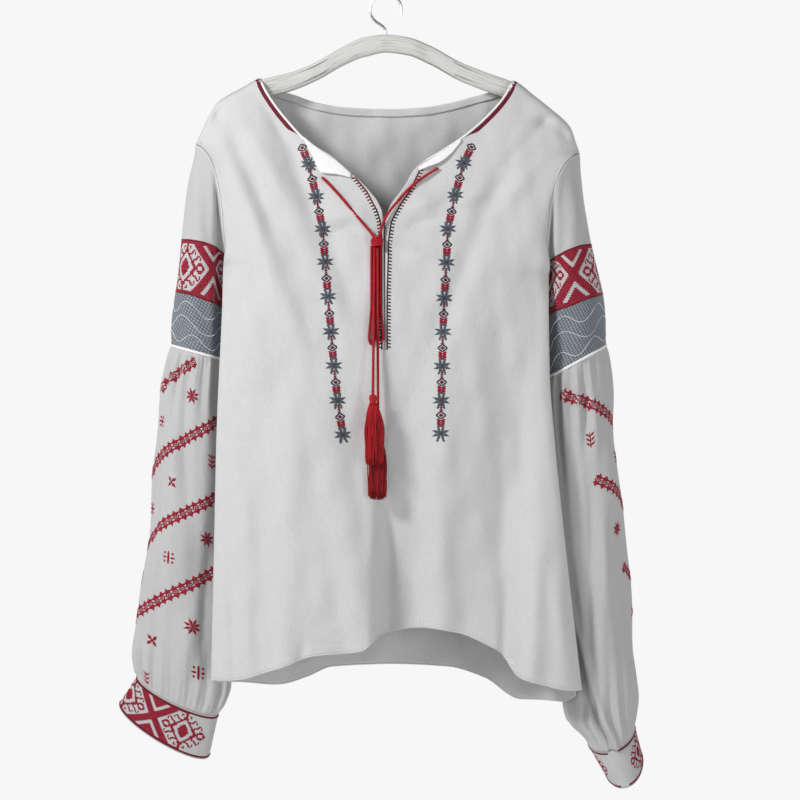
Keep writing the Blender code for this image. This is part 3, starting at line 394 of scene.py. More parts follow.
def back_depth(x, z, out):
    """The back panel's y at a place."""
    edge_y = edge_at(BACK_EDGE, "y", x, z)
    lens = np.sqrt(np.maximum(1 - out**4, 0.0))
    tuck = smooth(BACK_TUCK["out"], BACK_TUCK["depth"], out)
    shape = lens + (tuck - lens) * ease((TUCK_TOP - z) / TUCK_FALL)
    return edge_y + (stand_out(BACK_DEPTH, x, z) + fold_height(BACK_FOLDS, x, z) - edge_y) * shape


def turns(count):
    """Angles evenly all the way round."""
    return np.arange(count) / count * 2 * math.pi


def run_along(points):
    """How far along a path each of its points lies."""
    return np.concatenate([[0], np.cumsum(np.linalg.norm(np.diff(points, axis=0), axis=1))])


def ring(outer, inner, middle, half, dip, count):
    """One ring of a sleeve, from its outer point round by the front."""
    angle = turns(count)
    centre = (outer + inner) / 2
    reach = (outer - inner) / 2
    x = centre[0] + reach[0] * np.cos(angle)
    z = centre[1] + reach[1] * np.cos(angle) - dip * np.sin(angle)
    return np.stack([x, middle - half * np.sin(angle), z], 1)


def table_rings(rings, count):
    """The rings of a table, one for each of its rows."""
    return [ring(np.array(row[:2]), np.array(row[2:4]), *row[4:], count) for row in zip(*rings.values())]


def ring_normals(grid):
    """The outward directions of a closed grid of rings."""
    across = np.roll(grid, -1, 1) - np.roll(grid, 1, 1)
    down = np.gradient(grid, axis=0)
    normal = np.cross(across, down)
    normal /= np.linalg.norm(normal, axis=2, keepdims=True)
    outward = grid - grid.mean(axis=1, keepdims=True)
    facing = np.sign(np.sum(normal * outward, axis=2).mean())
    return normal * facing


def off_cloth(x, z, away):
    """A point that stands off the front panel."""
    return (x, float(front_depth(np.array([x]), np.array([z]))[0]) - away, z)


def smooth_route(points, spacing):
    """Points at an even spacing on a smooth curve through a route's own points."""
    keys = np.array(points, float)
    run = run_along(keys)
    count = max(3, int(round(run[-1] / spacing)) + 1)
    return smooth(run, keys, np.linspace(0, run[-1], count))


def knot_under(x, away):
    """The height just below the knot, over a cord's whole width."""
    lowest = KNOT_CENTRE[1]
    for dx in (-CORD / 2, 0.0, CORD / 2):
        for dy in (-CORD / 2, 0.0, CORD / 2):
            across = (x + dx - KNOT_CENTRE[0]) / KNOT_HALF[0]
            deep = (away + dy - KNOT_CENTRE[2]) / KNOT_HALF[1]
            bulge = math.sqrt(max(1 - across**2 - deep**2, 0.0))
            lowest = min(lowest, KNOT_CENTRE[1] - KNOT_HALF[2] * (1 + KNOT_LUMPS) * bulge)
    return lowest - 2 * SEAM


def loop_route(left, right, middle, radius, lowest):
    """A hanging loop: down one strand, round its wider end and up the other."""
    turn = lowest + radius
    start = (knot_under(left, LOOP_AWAY), knot_under(right, LOOP_AWAY))
    route = []
    for side, top_x, top_z in ((-1, left, start[0]), (1, right, start[1])):
        strand = []
        for share in np.linspace(0, 1, 9):
            x = top_x + (middle + side * radius - top_x) * ease((share - 0.6) / 0.4)
            strand.append(off_cloth(float(x), top_z + (turn - top_z) * share, LOOP_AWAY))
        route += strand if side < 0 else strand[::-1]
        if side < 0:
            for angle in (225.0, 270.0, 315.0):
                a = math.radians(angle)
                route.append(off_cloth(middle + radius * math.cos(a), turn + radius * math.sin(a), LOOP_AWAY))
    return route


def tail_route(top_x, end_x, end_z, end_away):
    """A cord's hanging end, from the knot to its tassel."""
    top_z = knot_under(top_x, TAIL_AWAY)
    return [off_cloth(top_x + (end_x - top_x) * t, top_z + (end_z - top_z) * t,
                      TAIL_AWAY + (end_away - TAIL_AWAY) * t**2) for t in np.linspace(0, 1, 10)]


# Shapes of the cloth

def creases(x, z):
    """What the small creases and the slow waves add to the front's depth."""
    total = ripples(x, z)
    for middle_x, middle_z, long, wide, angle, out in zip(*CREASES.values()):
        turn = math.radians(angle)
        dx, dz = x - middle_x, z - middle_z
        along = (dx * math.cos(turn) + dz * math.sin(turn)) / long
        across = (dz * math.cos(turn) - dx * math.sin(turn)) / wide
        total = total + out * np.exp(-along**2 - across**2)
    return total


def ripples(x, z):
    """Slow shallow waves, as cloth has that was folded and worn."""
    total = 0.0
    for across, down, out, start in zip(*RIPPLES.values()):
        total = total + out * np.sin(2 * math.pi * (x / across + z / down) + start)
    return total


def front_skin(x, z, out):
    """The front's y with its creases, which die away at the side edge, and a fuller roll by the armhole."""
    power = 1.0 + ARM_ROLL * ease((z + 330.0) / 70.0)
    return front_depth(x, z, out**power) - creases(x, z) * ease((1 - out) / 0.12)


def back_skin(x, z, out):
    """The back's y with slow waves."""
    return back_depth(x, z, out) + 1.6 * ripples(x + 40.0, z) * ease((1 - out) / 0.12)


def panel_grid(edges, neck, hem, depth, lip):
    """A panel's points, row by row from its top edge to its hem, and column by column across."""
    rows = np.linspace(0, 1, PANEL_ROWS + 1)
    shares = np.sin(np.linspace(0, 1, PANEL_COLUMNS + 1) * COLUMN_ARC) / math.sin(COLUMN_ARC)
    outs = np.concatenate([-shares[:0:-1], shares])
    grid = np.zeros((len(rows), len(outs), 3))
    for column, signed in enumerate(outs):
        side = -1 if signed < 0 else 1
        edge = edges[side]
        out = abs(signed)
        top_x = signed * np.abs(edge["x"][np.argmax(edge["z"])])
        neck_side = neck["x"][0] if side < 0 else neck["x"][-1]
        line = RIDGE if abs(top_x) >= abs(neck_side) else neck
        top_z = smooth(line["x"], line["z"], top_x)
        hem_x = signed * np.abs(edge["x"][np.argmin(edge["z"])])
        hem_z = smooth(hem["x"], hem["z"], hem_x)
        z = top_z + (hem_z - top_z) * rows
        x = side * panel_reach(out, z, edge, lip)
        x = x + (top_x - x[0]) * (1 - ease(rows / 0.3))
        grid[:, column] = np.stack([x, depth(x, z, np.full(len(z), out)), z], 1)
    return grid


def armhole(side):
    """The armhole's edge, down its front and up its back."""
    rows = 0.5 - 0.5 * np.cos(np.linspace(0, math.pi, ARM_COLUMNS // 2 + 1))
    top = FRONT_EDGE[side]["z"].max()
    underarm = FRONT_EDGE[side]["z"][8]
    z = top + (underarm - top) * rows
    front = np.stack([smooth(FRONT_EDGE[side]["z"], FRONT_EDGE[side][a], z) for a in "xy"] + [z], 1)
    back = np.stack([smooth(BACK_EDGE[side]["z"], BACK_EDGE[side][a], z) for a in "xy"] + [z], 1)
    return np.concatenate([front, back[-2:0:-1]])


def upper_sleeve_grid(side):
    """The sleeve from the armhole to the gathers, with soft slanting creases."""
    around = turns(ARM_COLUMNS)
    lower = 0.5 - 0.5 * np.cos(around)
    away = np.stack([side * (0.2 + 0.75 * lower), 0 * lower, -0.98 + 0.68 * lower], 1)
    away /= np.linalg.norm(away, axis=1, keepdims=True)
    rings = [armhole(side) + away * SLEEVE_SEAM] + table_rings(UPPER_RINGS[side], ARM_COLUMNS)
    share = np.linspace(0, 1, UPPER_ROWS + 1)
    grid = smooth(UPPER_STATIONS, np.array(rings), share)
    turn, down = around[None, :], share[:, None]
    slant = np.sin(3 * turn + 9.0 * down + side) + np.sin(5 * turn - 13.0 * down)
    height = 0.75 * slant * ease(share / 0.12)[:, None] * ease((1 - share) / 0.1)[:, None]
    grid = grid + ring_normals(grid) * height[:, :, None]
    return tuck_in(grid, side, ease(share / 0.08) * (1 - 0.5 * ease((share - 0.8) / 0.2)))


def tuck_in(grid, side, depths):
    """Set the inner part of a sleeve's front back behind an upright fold, by a depth for each row."""
    half = grid.shape[1] // 2
    kept = grid.copy()
    for row, depth in enumerate(depths):
        front = grid[row, :half + 1]
        rest = front[int(half * 0.86), 1]
        inwards = VALLEY_X[side] - side * front[:, 0]
        set_back = ease(inwards / VALLEY_STEP) * depth * VALLEY_DEPTH[side]
        moved = front[:, 1] + (np.maximum(rest, front[:, 1]) - front[:, 1]) * set_back
        kept[row, :half + 1, 1] = moved - VALLEY_BROW * np.exp(-((inwards + 2.5) / 4.0) ** 2) * depth
    return kept


def lower_sleeve_grid(side):
    """The full lower sleeve, with uneven gathers at both ends."""
    keys = table_rings(LOWER_RINGS[side], TURN_COLUMNS)
    run = run_along([key.mean(axis=0) for key in keys])
    share = np.linspace(0, 1, LOWER_ROWS + 1)
    grid = smooth(run / run[-1], keys, share)
    around = turns(TURN_COLUMNS)
    turn, down = around[None, :], share[:, None]
    wander = 0.5 * np.sin(2 * turn + 4.0 * down + side) * np.sin(math.pi * down)
    uneven = 0.85 + 0.4 * np.sin(3 * around + 1.0 + side) + 0.15 * np.sin(7 * around)
    coarse = smooth(GATHER_HEIGHT["down"], GATHER_HEIGHT["height"], share)[:, None] * uneven[None, :]
    middle = ease((down - 0.04) / 0.22) * ease((0.97 - down) / 0.16)
    slack = np.sin(3 * turn + 11.0 * down + 2.0 * side) + 0.7 * np.sin(5 * turn - 8.0 * down)
    slack = slack + 0.5 * np.sin(2 * turn + 21.0 * down)
    ends = np.exp(-down / 0.05) + np.exp(-(1 - down) / 0.07)
    fine = 0.75 * ends * ease(down / 0.02) * ease((1 - down) / 0.02)
    height = coarse * (1 - 0.72 * middle) * np.cos(GATHERS * turn + wander) + 1.7 * slack * middle
    height = height + fine * np.cos(FINE_GATHERS * turn + 1.3 * np.sin(4 * turn))
    for angle, at, tall, wide, lean, out in SLEEVE_FOLDS[side]:
        beside = (np.degrees(turn) - angle - lean * (down - at)) / wide
        height = height + out * np.exp(-((down - at) / tall) ** 2 - beside**2)
    grid = tuck_in(grid, side, 0.5 + 0.5 * ease(share / 0.08) - ease((share - 0.25) / 0.35))
    return grid + ring_normals(grid) * height[:, :, None]


def cuff_grid(side):
    """A cuff, a short flattened tube."""
    first, last = table_rings(CUFF_RINGS[side], TURN_COLUMNS)
    return np.array([first + (last - first) * t for t in np.linspace(0, 1, CUFF_ROWS + 1)])


# Lookups on the cloth

class Cloth:
    """A grid of points with outward normals, looked up by column and row."""

    def __init__(self, grid, wall=WALL):
        self.grid = grid
        self.wall = wall
        self.normals = ring_normals(grid)

    def read(self, values, column, row):
        """Values at places between the grid's points."""
        rows, columns = values.shape[:2]
        row = np.clip(row, 0, rows - 1.0001)
        r0 = np.floor(row).astype(int)
        fr = (row - r0)[:, None]
        c0 = np.floor(column).astype(int)
        fc = (column - c0)[:, None]
        left = c0 % columns
        right = (c0 + 1) % columns
        upper = values[r0, left] * (1 - fc) + values[r0, right] * fc
        lower = values[r0 + 1, left] * (1 - fc) + values[r0 + 1, right] * fc
        return upper * (1 - fr) + lower * fr

    def place(self, column, row, lift):
        """Points that stand off the cloth's outer side."""
        normal = self.read(self.normals, column, row)
        return self.read(self.grid, column, row) + normal * (self.wall / 2 + lift)[:, None]


def level_shares(grid, levels):
    """The share of the way down a sleeve at which each column comes to its own height."""
    columns = grid.shape[1]
    around = np.linspace(0, 360, columns + 1)
    wanted = smooth(levels["angle"], levels["z"], np.minimum(around, 360 - around))
    shares = np.linspace(0, 1, len(grid))
    found = np.array([np.interp(-wanted[i], -grid[:, i, 2], shares) for i in range(columns)])
    found = np.clip(found, 0.035, 0.92)
    eased = sum(np.roll(found, step) for step in range(-3, 4)) / 7
    return np.append(eased, eased[0])


class Stretch:
    """A part of a sleeve as a flat strip: across in mm of arc from an anchor, down as a share of it."""

    def __init__(self, cloth, top, bottom, anchor):
        self.cloth = cloth
        self.rows = len(cloth.grid) - 1
        columns = cloth.grid.shape[1]
        self.top, self.bottom = [level_shares(cloth.grid, level) if isinstance(level, dict)
                                 else np.full(columns + 1, level) for level in (top, bottom)]
        top, bottom = self.top.mean(), self.bottom.mean()
        middle = cloth.grid[int(round((top + bottom) / 2 * self.rows))]
        self.arc = run_along(np.concatenate([middle, middle[:1]]))
        self.round = self.arc[-1]
        self.start = np.interp(anchor / 360.0 * columns, np.arange(columns + 1), self.arc)
        ends = cloth.grid[[int(top * self.rows), int(bottom * self.rows)]]
        self.high = np.linalg.norm(ends[1] - ends[0], axis=1).mean()

    def __call__(self, points, lift):
        """Points from (mm across, share down)."""
        places = np.arange(len(self.arc))
        column = np.interp((self.start + points[:, 0]) % self.round, self.arc, places)
        top, bottom = [np.interp(column, places, level) for level in (self.top, self.bottom)]
        return self.cloth.place(column, (top + (bottom - top) * points[:, 1]) * self.rows, lift)


class FrontPlace:
    """The front panel as seen from the front: across is x and down is z."""

    def __init__(self, grid):
        faces = grid_faces(*grid.shape[:2], False)
        self.tree = BVHTree.FromPolygons([tuple(p) for p in grid.reshape(-1, 3)], faces)

    def __call__(self, points, lift):
        """Points from (x, z)."""
        placed = np.zeros((len(points), 3))
        for i, (x, z) in enumerate(points):
            hit, normal, _, _ = self.tree.ray_cast(Vector((x, -300.0, z)), Vector((0.0, 1.0, 0.0)))
            if hit is None:
                hit, normal, _, _ = self.tree.find_nearest(Vector((x, -45.0, z)))
            if normal.y > 0:
                normal = -normal
            placed[i] = hit + normal * (WALL / 2 + lift[i])
        return placed


# Making objects

def add_object(name, points, faces, finish, uv=None, smooth_shade=True):
    """A mesh object that rides on the hanger, from points in millimetres."""
    mesh = bpy.data.meshes.new(name)
    mesh.from_pydata((np.asarray(points) * MM).tolist(), [], faces)
    mesh.materials.append(finish)
    if smooth_shade:
        mesh.shade_smooth()
    if uv is not None:
        layer = mesh.uv_layers.new(name="cloth")
        corners = np.zeros(len(mesh.loops), np.int32)
        mesh.loops.foreach_get("vertex_index", corners)
        layer.data.foreach_set("uv", (np.asarray(uv)[corners] * MM).ravel())
    made = bpy.data.objects.new(name, mesh)
    bpy.context.scene.collection.objects.link(made)
    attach(made, "root")
    return made


def grid_faces(rows, columns, closed):
    """The four-sided faces of a grid."""
    faces = []
    for row in range(rows - 1):
        above, below = row * columns, (row + 1) * columns
        for c in range(columns if closed else columns - 1):
            after = (c + 1) % columns
            faces.append((above + c, below + c, below + after, above + after))
    return faces


def capped(rings):
    """A tube's points and faces from its rings, with closed ends."""
    rows, sides = rings.shape[:2]
    ends = [tuple(range(sides)), tuple(reversed(range((rows - 1) * sides, rows * sides)))]
    return rings.reshape(-1, 3), grid_faces(rows, sides, True) + ends


def cloth_lengths(grid):
    """How far across and down each point of a grid lies along the cloth."""
    across = np.linalg.norm(np.diff(grid, axis=1), axis=2)
    down = np.linalg.norm(np.diff(grid, axis=0), axis=2)
    u = np.concatenate([np.zeros((len(grid), 1)), np.cumsum(across, axis=1)], 1)
    v = np.concatenate([np.zeros((1, grid.shape[1])), np.cumsum(down, axis=0)], 0)
    u -= u[:, u.shape[1] // 2][:, None]
    return u, v


def thicken(made, wall=WALL):
    """Give a sheet its wall, half on each side."""
    solid = made.modifiers.new("wall", "SOLIDIFY")
    solid.thickness = wall * MM
    solid.offset = 0.0
    return made


def add_cloth(name, grid, finish, closed=False, wall=WALL, points=None, faces=None):
    """A cloth piece in place of its CAD node, given its wall."""
    rows, columns = grid.shape[:2]
    u, v = cloth_lengths(grid)
    uv = np.stack([u.ravel(), -v.ravel()], 1)
    if points is None:
        points = grid.reshape(-1, 3)
        faces = grid_faces(rows, columns, closed)
    else:
        top = columns // 2
        added = points[len(uv):]
        uv = np.concatenate([uv, [(uv[top, 0], point[2] - points[top][2]) for point in added]])
    made = thicken(add_object(name, points, faces, finish, uv=uv), wall)
    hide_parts(name)
    around = np.concatenate([grid, grid[:, :1]], 1) if closed else grid
    wide = np.linalg.norm(np.diff(around, axis=1), axis=2).sum(axis=1).mean()
    long = np.linalg.norm(np.diff(grid, axis=0), axis=2).sum(axis=0).mean()
    return made


def tube_points(path, radius, sides, lobes=0, pitch=1.0, groove=0.0, ends=1.0):
    """A tube's rings round a path, plain or as twisted strands."""
    path = np.asarray(path, float)
    ahead = np.gradient(path, axis=0)
    ahead /= np.linalg.norm(ahead, axis=1, keepdims=True)
    side = np.cross(ahead[0], (0.0, 1.0, 0.0))
    if np.linalg.norm(side) < 0.1:
        side = np.cross(ahead[0], (1.0, 0.0, 0.0))
    sides_at = []
    for way in ahead:
        side = side - way * np.dot(side, way)
        side = side / np.linalg.norm(side)
        sides_at.append(side)
    sides_at = np.array(sides_at)
    others = np.cross(ahead, sides_at)
    turn = turns(sides)
    wide = np.full((len(path), sides), float(radius))
    if lobes:
        twist = turn[None, :] - 2 * math.pi * run_along(path)[:, None] / pitch
        wide = radius * (1 - groove + groove * np.abs(np.cos(lobes / 2 * twist)))
    wide[[0, -1]] *= ends
    return (path[:, None] + wide[:, :, None] * (np.cos(turn)[None, :, None] * sides_at[:, None]
                                                + np.sin(turn)[None, :, None] * others[:, None]))


def tube_mesh(path, radius, sides=6, **strands):
    """A tube's points and faces, with closed ends."""
    return capped(tube_points(path, radius, sides, **strands))


def join_meshes(parts):
    """Several meshes' points and faces as one."""
    points, faces = [], []
    for some, many in parts:
        start = sum(len(p) for p in points)
        points.append(np.asarray(some))
        faces += [tuple(i + start for i in face) for face in many]
    return np.concatenate(points), faces


def even_path(points, spacing):
    """A path's points at an even spacing, straight between the given ones."""
    keys = np.asarray(points, float)
    run = run_along(keys)
    at = np.linspace(0, run[-1], max(2, int(round(run[-1] / spacing)) + 1))
    return np.stack([np.interp(at, run, keys[:, i]) for i in range(keys.shape[1])], 1)


# Stitches

# A stitch's four faces, which meet at a middle point
FAN = [(0, 1, 4), (1, 2, 4), (2, 3, 4), (3, 0, 4)]


class Stitches:
    """Raised stitches laid on a cloth, gathered into one piece for each colour."""

    def __init__(self, place):
        self.place = place
        self.spots = []
        self.lifts = []
        self.faces = []
        self.colours = []

    def add(self, spots, lifts, faces, colour):
        """Add one stitch's points, in the cloth's flat measure."""
        start = len(self.lifts)
        self.spots += spots
        self.lifts += lifts
        self.faces += [tuple(i + start for i in face) for face in faces]
        self.colours += [colour] * len(faces)

    def cell(self, x, y, wide, high, colour, lift=0.45):
        """A cross-stitch: a small cushion over one square of the weave."""
        a, b = wide * 0.49, high * 0.49
        corners = [(x - a, y - b), (x + a, y - b), (x + a, y + b), (x - a, y + b)]
        self.add(corners + [(x, y)], [0.06] * 4 + [lift], FAN, colour)

    def thread(self, start, end, width, colour, lift=0.5, scale=(1.0, 1.0)):
        """A satin thread from one place to another, rounded across and drawn in at its ends."""
        start, end = np.array(start, float), np.array(end, float)
        flat = (end - start) * scale
        length = max(np.hypot(*flat), 0.001)
        side = np.array([-flat[1], flat[0]]) / length * width / 2 / scale
        spots, lifts, faces = [], [], []
        for share, full, high in ((0.0, 0.55, 0.3), (0.2, 1.0, 1.0), (0.8, 1.0, 1.0), (1.0, 0.55, 0.3)):
            middle = start + (end - start) * share
            spots += [tuple(middle - side * full), tuple(middle), tuple(middle + side * full)]
            lifts += [0.05, lift * high, 0.05]
        for a in (0, 3, 6):
            faces += [(a, a + 3, a + 4, a + 1), (a + 1, a + 4, a + 5, a + 2)]
        self.add(spots, lifts, faces, colour)

    def petal(self, centre, tip, width, colour, lift=0.6, scale=(1.0, 1.0)):
        """One ray of a star: a lozenge with a ridge down its middle."""
        centre, tip = np.array(centre, float), np.array(tip, float)
        flat = (tip - centre) * scale
        side = np.array([-flat[1], flat[0]]) / np.hypot(*flat) * width / 2 / scale
        middle = centre + (tip - centre) * 0.52
        spots = [tuple(centre), tuple(middle - side), tuple(tip), tuple(middle + side), tuple(middle)]
        self.add(spots, [lift, 0.08, 0.12, 0.08, lift], FAN, colour)

    def star(self, x, y, wide, high, colour, scale=(1.0, 1.0)):
        """An eight-pointed star, two rays to each side."""
        for ray in range(8):
            turn = math.radians(22.5 + 45 * ray)
            tip = (x + wide / 2 * math.cos(turn) / scale[0], y + high / 2 * math.sin(turn) / scale[1])
            self.petal((x, y), tip, (wide + high) * 0.088, colour, scale=scale)

    def patch(self, corners, colour, lift=0.4):
        """A filled four-sided patch of satin, high along its middle."""
        middle = tuple(np.mean(corners, axis=0))
        self.add([tuple(c) for c in corners] + [middle], [0.08] * 4 + [lift], FAN, colour)

    def make(self, name, finishes):
        """One object for each colour that was used."""
        placed = self.place(np.array(self.spots), np.array(self.lifts))
        for colour, (finish, slot) in finishes.items():
            picked = [face for face, own in zip(self.faces, self.colours) if own == colour]
            if not picked:
                continue
            used = sorted({i for face in picked for i in face})
            renumber = {old: new for new, old in enumerate(used)}
            faces = [tuple(renumber[i] for i in face) for face in picked]
            piece = add_object(name + "_" + colour, placed[used], faces, finish, smooth_shade=False)


def band_cell(a, b, crossed=True):
    """Whether a band's cell is stitched: a cells from a cross's middle, b cells above the band's middle."""
    off_arm = (b - a) / math.sqrt(2.0)
    if crossed and (b >= BAND_HALF - BORDER or abs(off_arm) <= ARM_HALF):
        return True
    if crossed and off_arm > ARM_HALF:
        return off_arm > ARM_HALF + LIGHT_LINE
    from_diamond = BAND_REACH - a
    ringed = from_diamond / DIAMOND_WIDE + b / DIAMOND_HIGH
    if ringed <= 1.0:
        return ringed > DIAMOND_LINE or 0.05 < ringed <= DIAMOND_HEART
    if from_diamond < 1.3 and b > DIAMOND_HIGH - 1.0:
        return True
    if abs(math.hypot(from_diamond - RING_AT, b) - RING_HALF) < RING_LINE:
        return True
    row = int(b)
    column = int(from_diamond)
    hooks = HOOKS[::-1]
    return row < len(hooks) and column < len(hooks[row]) and hooks[row][column] == "#"


# The band's measures in cells of its weave
BAND_HALF = 15
BAND_REACH = 23
BORDER = 1.6
ARM_HALF = 2.4
LIGHT_LINE = 2.0
DIAMOND_WIDE = 10.0
DIAMOND_HIGH = 11.2
# Shares of a diamond's reach: where its outline starts and where its filled heart ends
DIAMOND_LINE = 0.77
DIAMOND_HEART = 0.48
RING_AT = 12.7
RING_HALF = 2.1
RING_LINE = 0.8
# Small hooks round a diamond: columns go out from its middle, rows go up from it
HOOKS = (
    "................",
    "..##............",
    "...#............",
    "......##........",
    ".....##.#.......",
    "...###..#.......",
    "..........##....",
    ".........##.#...",
    ".......###..#...",
    ".......#........",
    "................",
    "................",
    "................",
)


def edge_lines(stitches, start, end, levels, high):
    """Dark cord-like lines along a band's edges."""
    at = np.linspace(start, end, int((end - start) / 2.2))
    for level in levels:
        for i in range(len(at) - 1):
            stitches.thread((at[i], level), (at[i + 1] + 0.4, level), 1.9, "maroon", 0.9, (1.0, high))


def stitch_band(stitches, cells_from, cells_to, cell, crossed=(-999, 999)):
    """A band of crosses and diamonds, cell by cell; beyond the crossed columns only diamonds."""
    rows = 2 * BAND_HALF
    for column in range(cells_from, cells_to):
        a = (column + 0.5) % (2 * BAND_REACH)
        a = min(a, 2 * BAND_REACH - a)
        for row in range(rows):
            b = abs(row + 0.5 - BAND_HALF)
            if band_cell(a, b, crossed[0] <= column < crossed[1]):
                stitches.cell((column + 0.5) * cell, (row + 0.5) / rows, cell, 1 / rows, "red")


def stitch_strip(stitches, side):
    """One of the front's upright strips: stars joined by diamonds, chevrons and small links."""
    stars = STRIP_STARS[side]
    top = (stars["x"][0] - (stars["x"][1] - stars["x"][0]) * 0.9, stars["z"][0] + STRIP_PITCH * 0.48)
    keys = [top] + list(zip(stars["x"], stars["z"]))
    places = [np.array(key) for key in keys]
    for number in range(1, len(places)):
        above, star = places[number - 1], places[number]
        step = star - above
        along = step / np.hypot(*step)
        side_way = np.array([-along[1], along[0]])
        pitch = STRIP_PITCH
        stitches.star(star[0], star[1], STAR_WIDE, STAR_HIGH, "grey")
        stitches.cell(star[0], star[1], 6.4, 6.0, "slate", 1.0)

        def at(up, across=0.0):
            return tuple(star - along * up * pitch + side_way * across)

        for up, wide in ((0.20, 3.8), (0.25, 3.4)):
            low, high = up - 0.03, up + 0.03
            stitches.patch([at(low, -wide), at(low, wide), at(high, wide), at(high, -wide)], "grey")
        for flank in (-1, 1):
            stitches.thread(at(0.10, flank * 1.6), at(0.225, flank * 3.3), 2.4, "grey", 0.6)
            stitches.thread(at(-0.10, flank * 1.6), at(-0.25, flank * 3.9), 2.4, "grey", 0.6)
        for up in (0.27, 0.335, 0.40):
            for flank in (-1, 1):
                stitches.thread(at(up - 0.045), at(up + 0.02, flank * 4.3), 2.2, "red", 0.7)
        diamond = 0.53
        corners = [at(diamond - 0.11), at(diamond, 5.3), at(diamond + 0.11), at(diamond, -5.3)]
        for i in range(4):
            stitches.thread(corners[i], corners[(i + 1) % 4], 1.8, "slate", 0.6)
        heart = [at(diamond - 0.06), at(diamond, 2.7), at(diamond + 0.06), at(diamond, -2.7)]
        stitches.patch(heart, "maroon", 0.7)
        if number > 1:
            for up, wide in ((0.66, 2.6), (0.71, 1.9), (0.76, 2.4), (0.81, 2.0), (0.86, 2.5)):
                stitches.patch([at(up - 0.03), at(up, wide), at(up + 0.03), at(up, -wide)], "maroon", 0.6)


STRIP_PITCH = 36.8
STAR_WIDE = 20.5
STAR_HIGH = 17.5
STRIP_STARS = {
    -1: table("x z", [
        (-83.7, -188.3), (-75.8, -223.7), (-68.8, -259.5), (-65.9, -295.7), (-62.5, -333.3),
        (-59.2, -371.3), (-56, -408.3), (-52, -445.9), (-46.5, -483)]),
    1: table("x z", [
        (84.9, -187.3), (75.5, -222.6), (67.4, -259.5), (65.6, -296.3), (63.3, -334.8),
        (62, -371.8), (60.9, -408.9), (59.8, -445.9), (59.3, -481.4)])}


def stitch_comb(stitches, spine, tooth, pitch, colours):
    """A blanket stitch: a spine with a short thread off it at each step."""
    path = even_path(spine, pitch)
    for i in range(len(path) - 1):
        colour = colours[0] if path[i][1] > COMB_TURNS_DARK else colours[1]
        stitches.thread(path[i], path[i + 1], 1.6, colour, 0.6)
        stitches.thread(path[i], path[i] + tooth, 1.6, colour, 0.6)


COMB_TURNS_DARK = -236.0
COMB_PITCH = 3.7
COMB_RIGHT = ((38.5, -191.5), (27.2, -216.0), (15.6, -233.8), (6.0, -251.5), (3.0, -271.0), (2.6, -290.5),
              (1.6, -330.0), (1.4, -391.5))
COMB_LEFT = ((-33.5, -203.5), (-20.5, -219.0), (-9.5, -240.0), (-5.8, -252.0), (-4.4, -270.0), (-4.2, -391.5))


def zigzag_band(stitches, start, end, turn_scale, down_scale):
    """A slanting band: a chain of small lozenges between two lines with teeth on their outer sides."""
    scale = (turn_scale, down_scale)
    start = np.array(start, float)
    end = np.array(end, float)
    flat = (end - start) * scale
    length = np.hypot(*flat)
    along = flat / length
    side_way = np.array([-along[1], along[0]])
    count = int(length // ZIGZAG_PITCH)

    def at(run, across):
        return start + (along * run + side_way * across) / scale

    for i in range(count):
        run = i * ZIGZAG_PITCH
        middle = run + ZIGZAG_PITCH / 2
        for across in (-3.4, 3.4):
            stitches.thread(at(run, across), at(run + ZIGZAG_PITCH, across), 2.7, "red", 0.7, scale)
            tip = 7.6 if across > 0 else -7.6
            tooth = [at(middle - 3.7, across), at(middle, tip), at(middle + 3.7, across), at(middle, across * 0.7)]
            stitches.patch(tooth, "red")
        ringed = [at(middle - 4.0, 0), at(middle, 2.6), at(middle + 4.0, 0), at(middle, -2.6)]
        for j in range(4):
            stitches.thread(ringed[j], ringed[(j + 1) % 4], 1.6, "red", 0.5, scale)
        heart = [at(middle - 1.6, 0), at(middle, 1.2), at(middle + 1.6, 0), at(middle, -1.2)]
        stitches.patch(heart, "maroon", 0.5)


ZIGZAG_PITCH = 8.8


def small_motif(stitches, kind, x, y, scale):
    """A small filling motif: a cross with dots, a rosette, or a sprig."""
    def at(across, down):
        return (x + across / scale[0], y + down / scale[1])

    if kind == "star":
        stitches.star(x, y, 19.0, 19.0, "red", scale)
    elif kind == "cross":
        for dx, dy in ((7.0, 0.0), (0.0, 7.0)):
            stitches.thread(at(-dx, -dy), at(dx, dy), 2.4, "red", 0.6, scale)
        for dx in (-4.6, 4.6):
            for dy in (-4.6, 4.6):
                stitches.cell(*at(dx, dy), 2.4 / scale[0], 2.4 / scale[1], "red")
    elif kind == "rosette":
        for petal in range(4):
            turn = math.radians(45 + 90 * petal)
            stitches.petal((x, y), at(8.0 * math.cos(turn), 8.0 * math.sin(turn)), 4.2, "red", 0.6, scale)
        stitches.cell(x, y, 2.6 / scale[0], 2.6 / scale[1], "maroon", 0.9)
    else:
        for height in (-6.0, -1.0, 4.0):
            for flank in (-1, 1):
                stitches.petal(at(0, height + 2.5), at(flank * 5.5, height - 2.5), 2.6, "red", 0.5, scale)
        stitches.thread(at(0, -8.5), at(0, 8.5), 1.5, "red", 0.6, scale)


# Materials

def principled(name, colour, roughness):
    """A new material, its nodes and links, and its shader."""
    made = bpy.data.materials.new(name)
    made.use_nodes = True
    nodes = made.node_tree.nodes
    links = made.node_tree.links
    shader = nodes["Principled BSDF"]
    shader.inputs["Base Color"].default_value = (*colour, 1.0)
    shader.inputs["Roughness"].default_value = roughness
    return made, nodes, links, shader


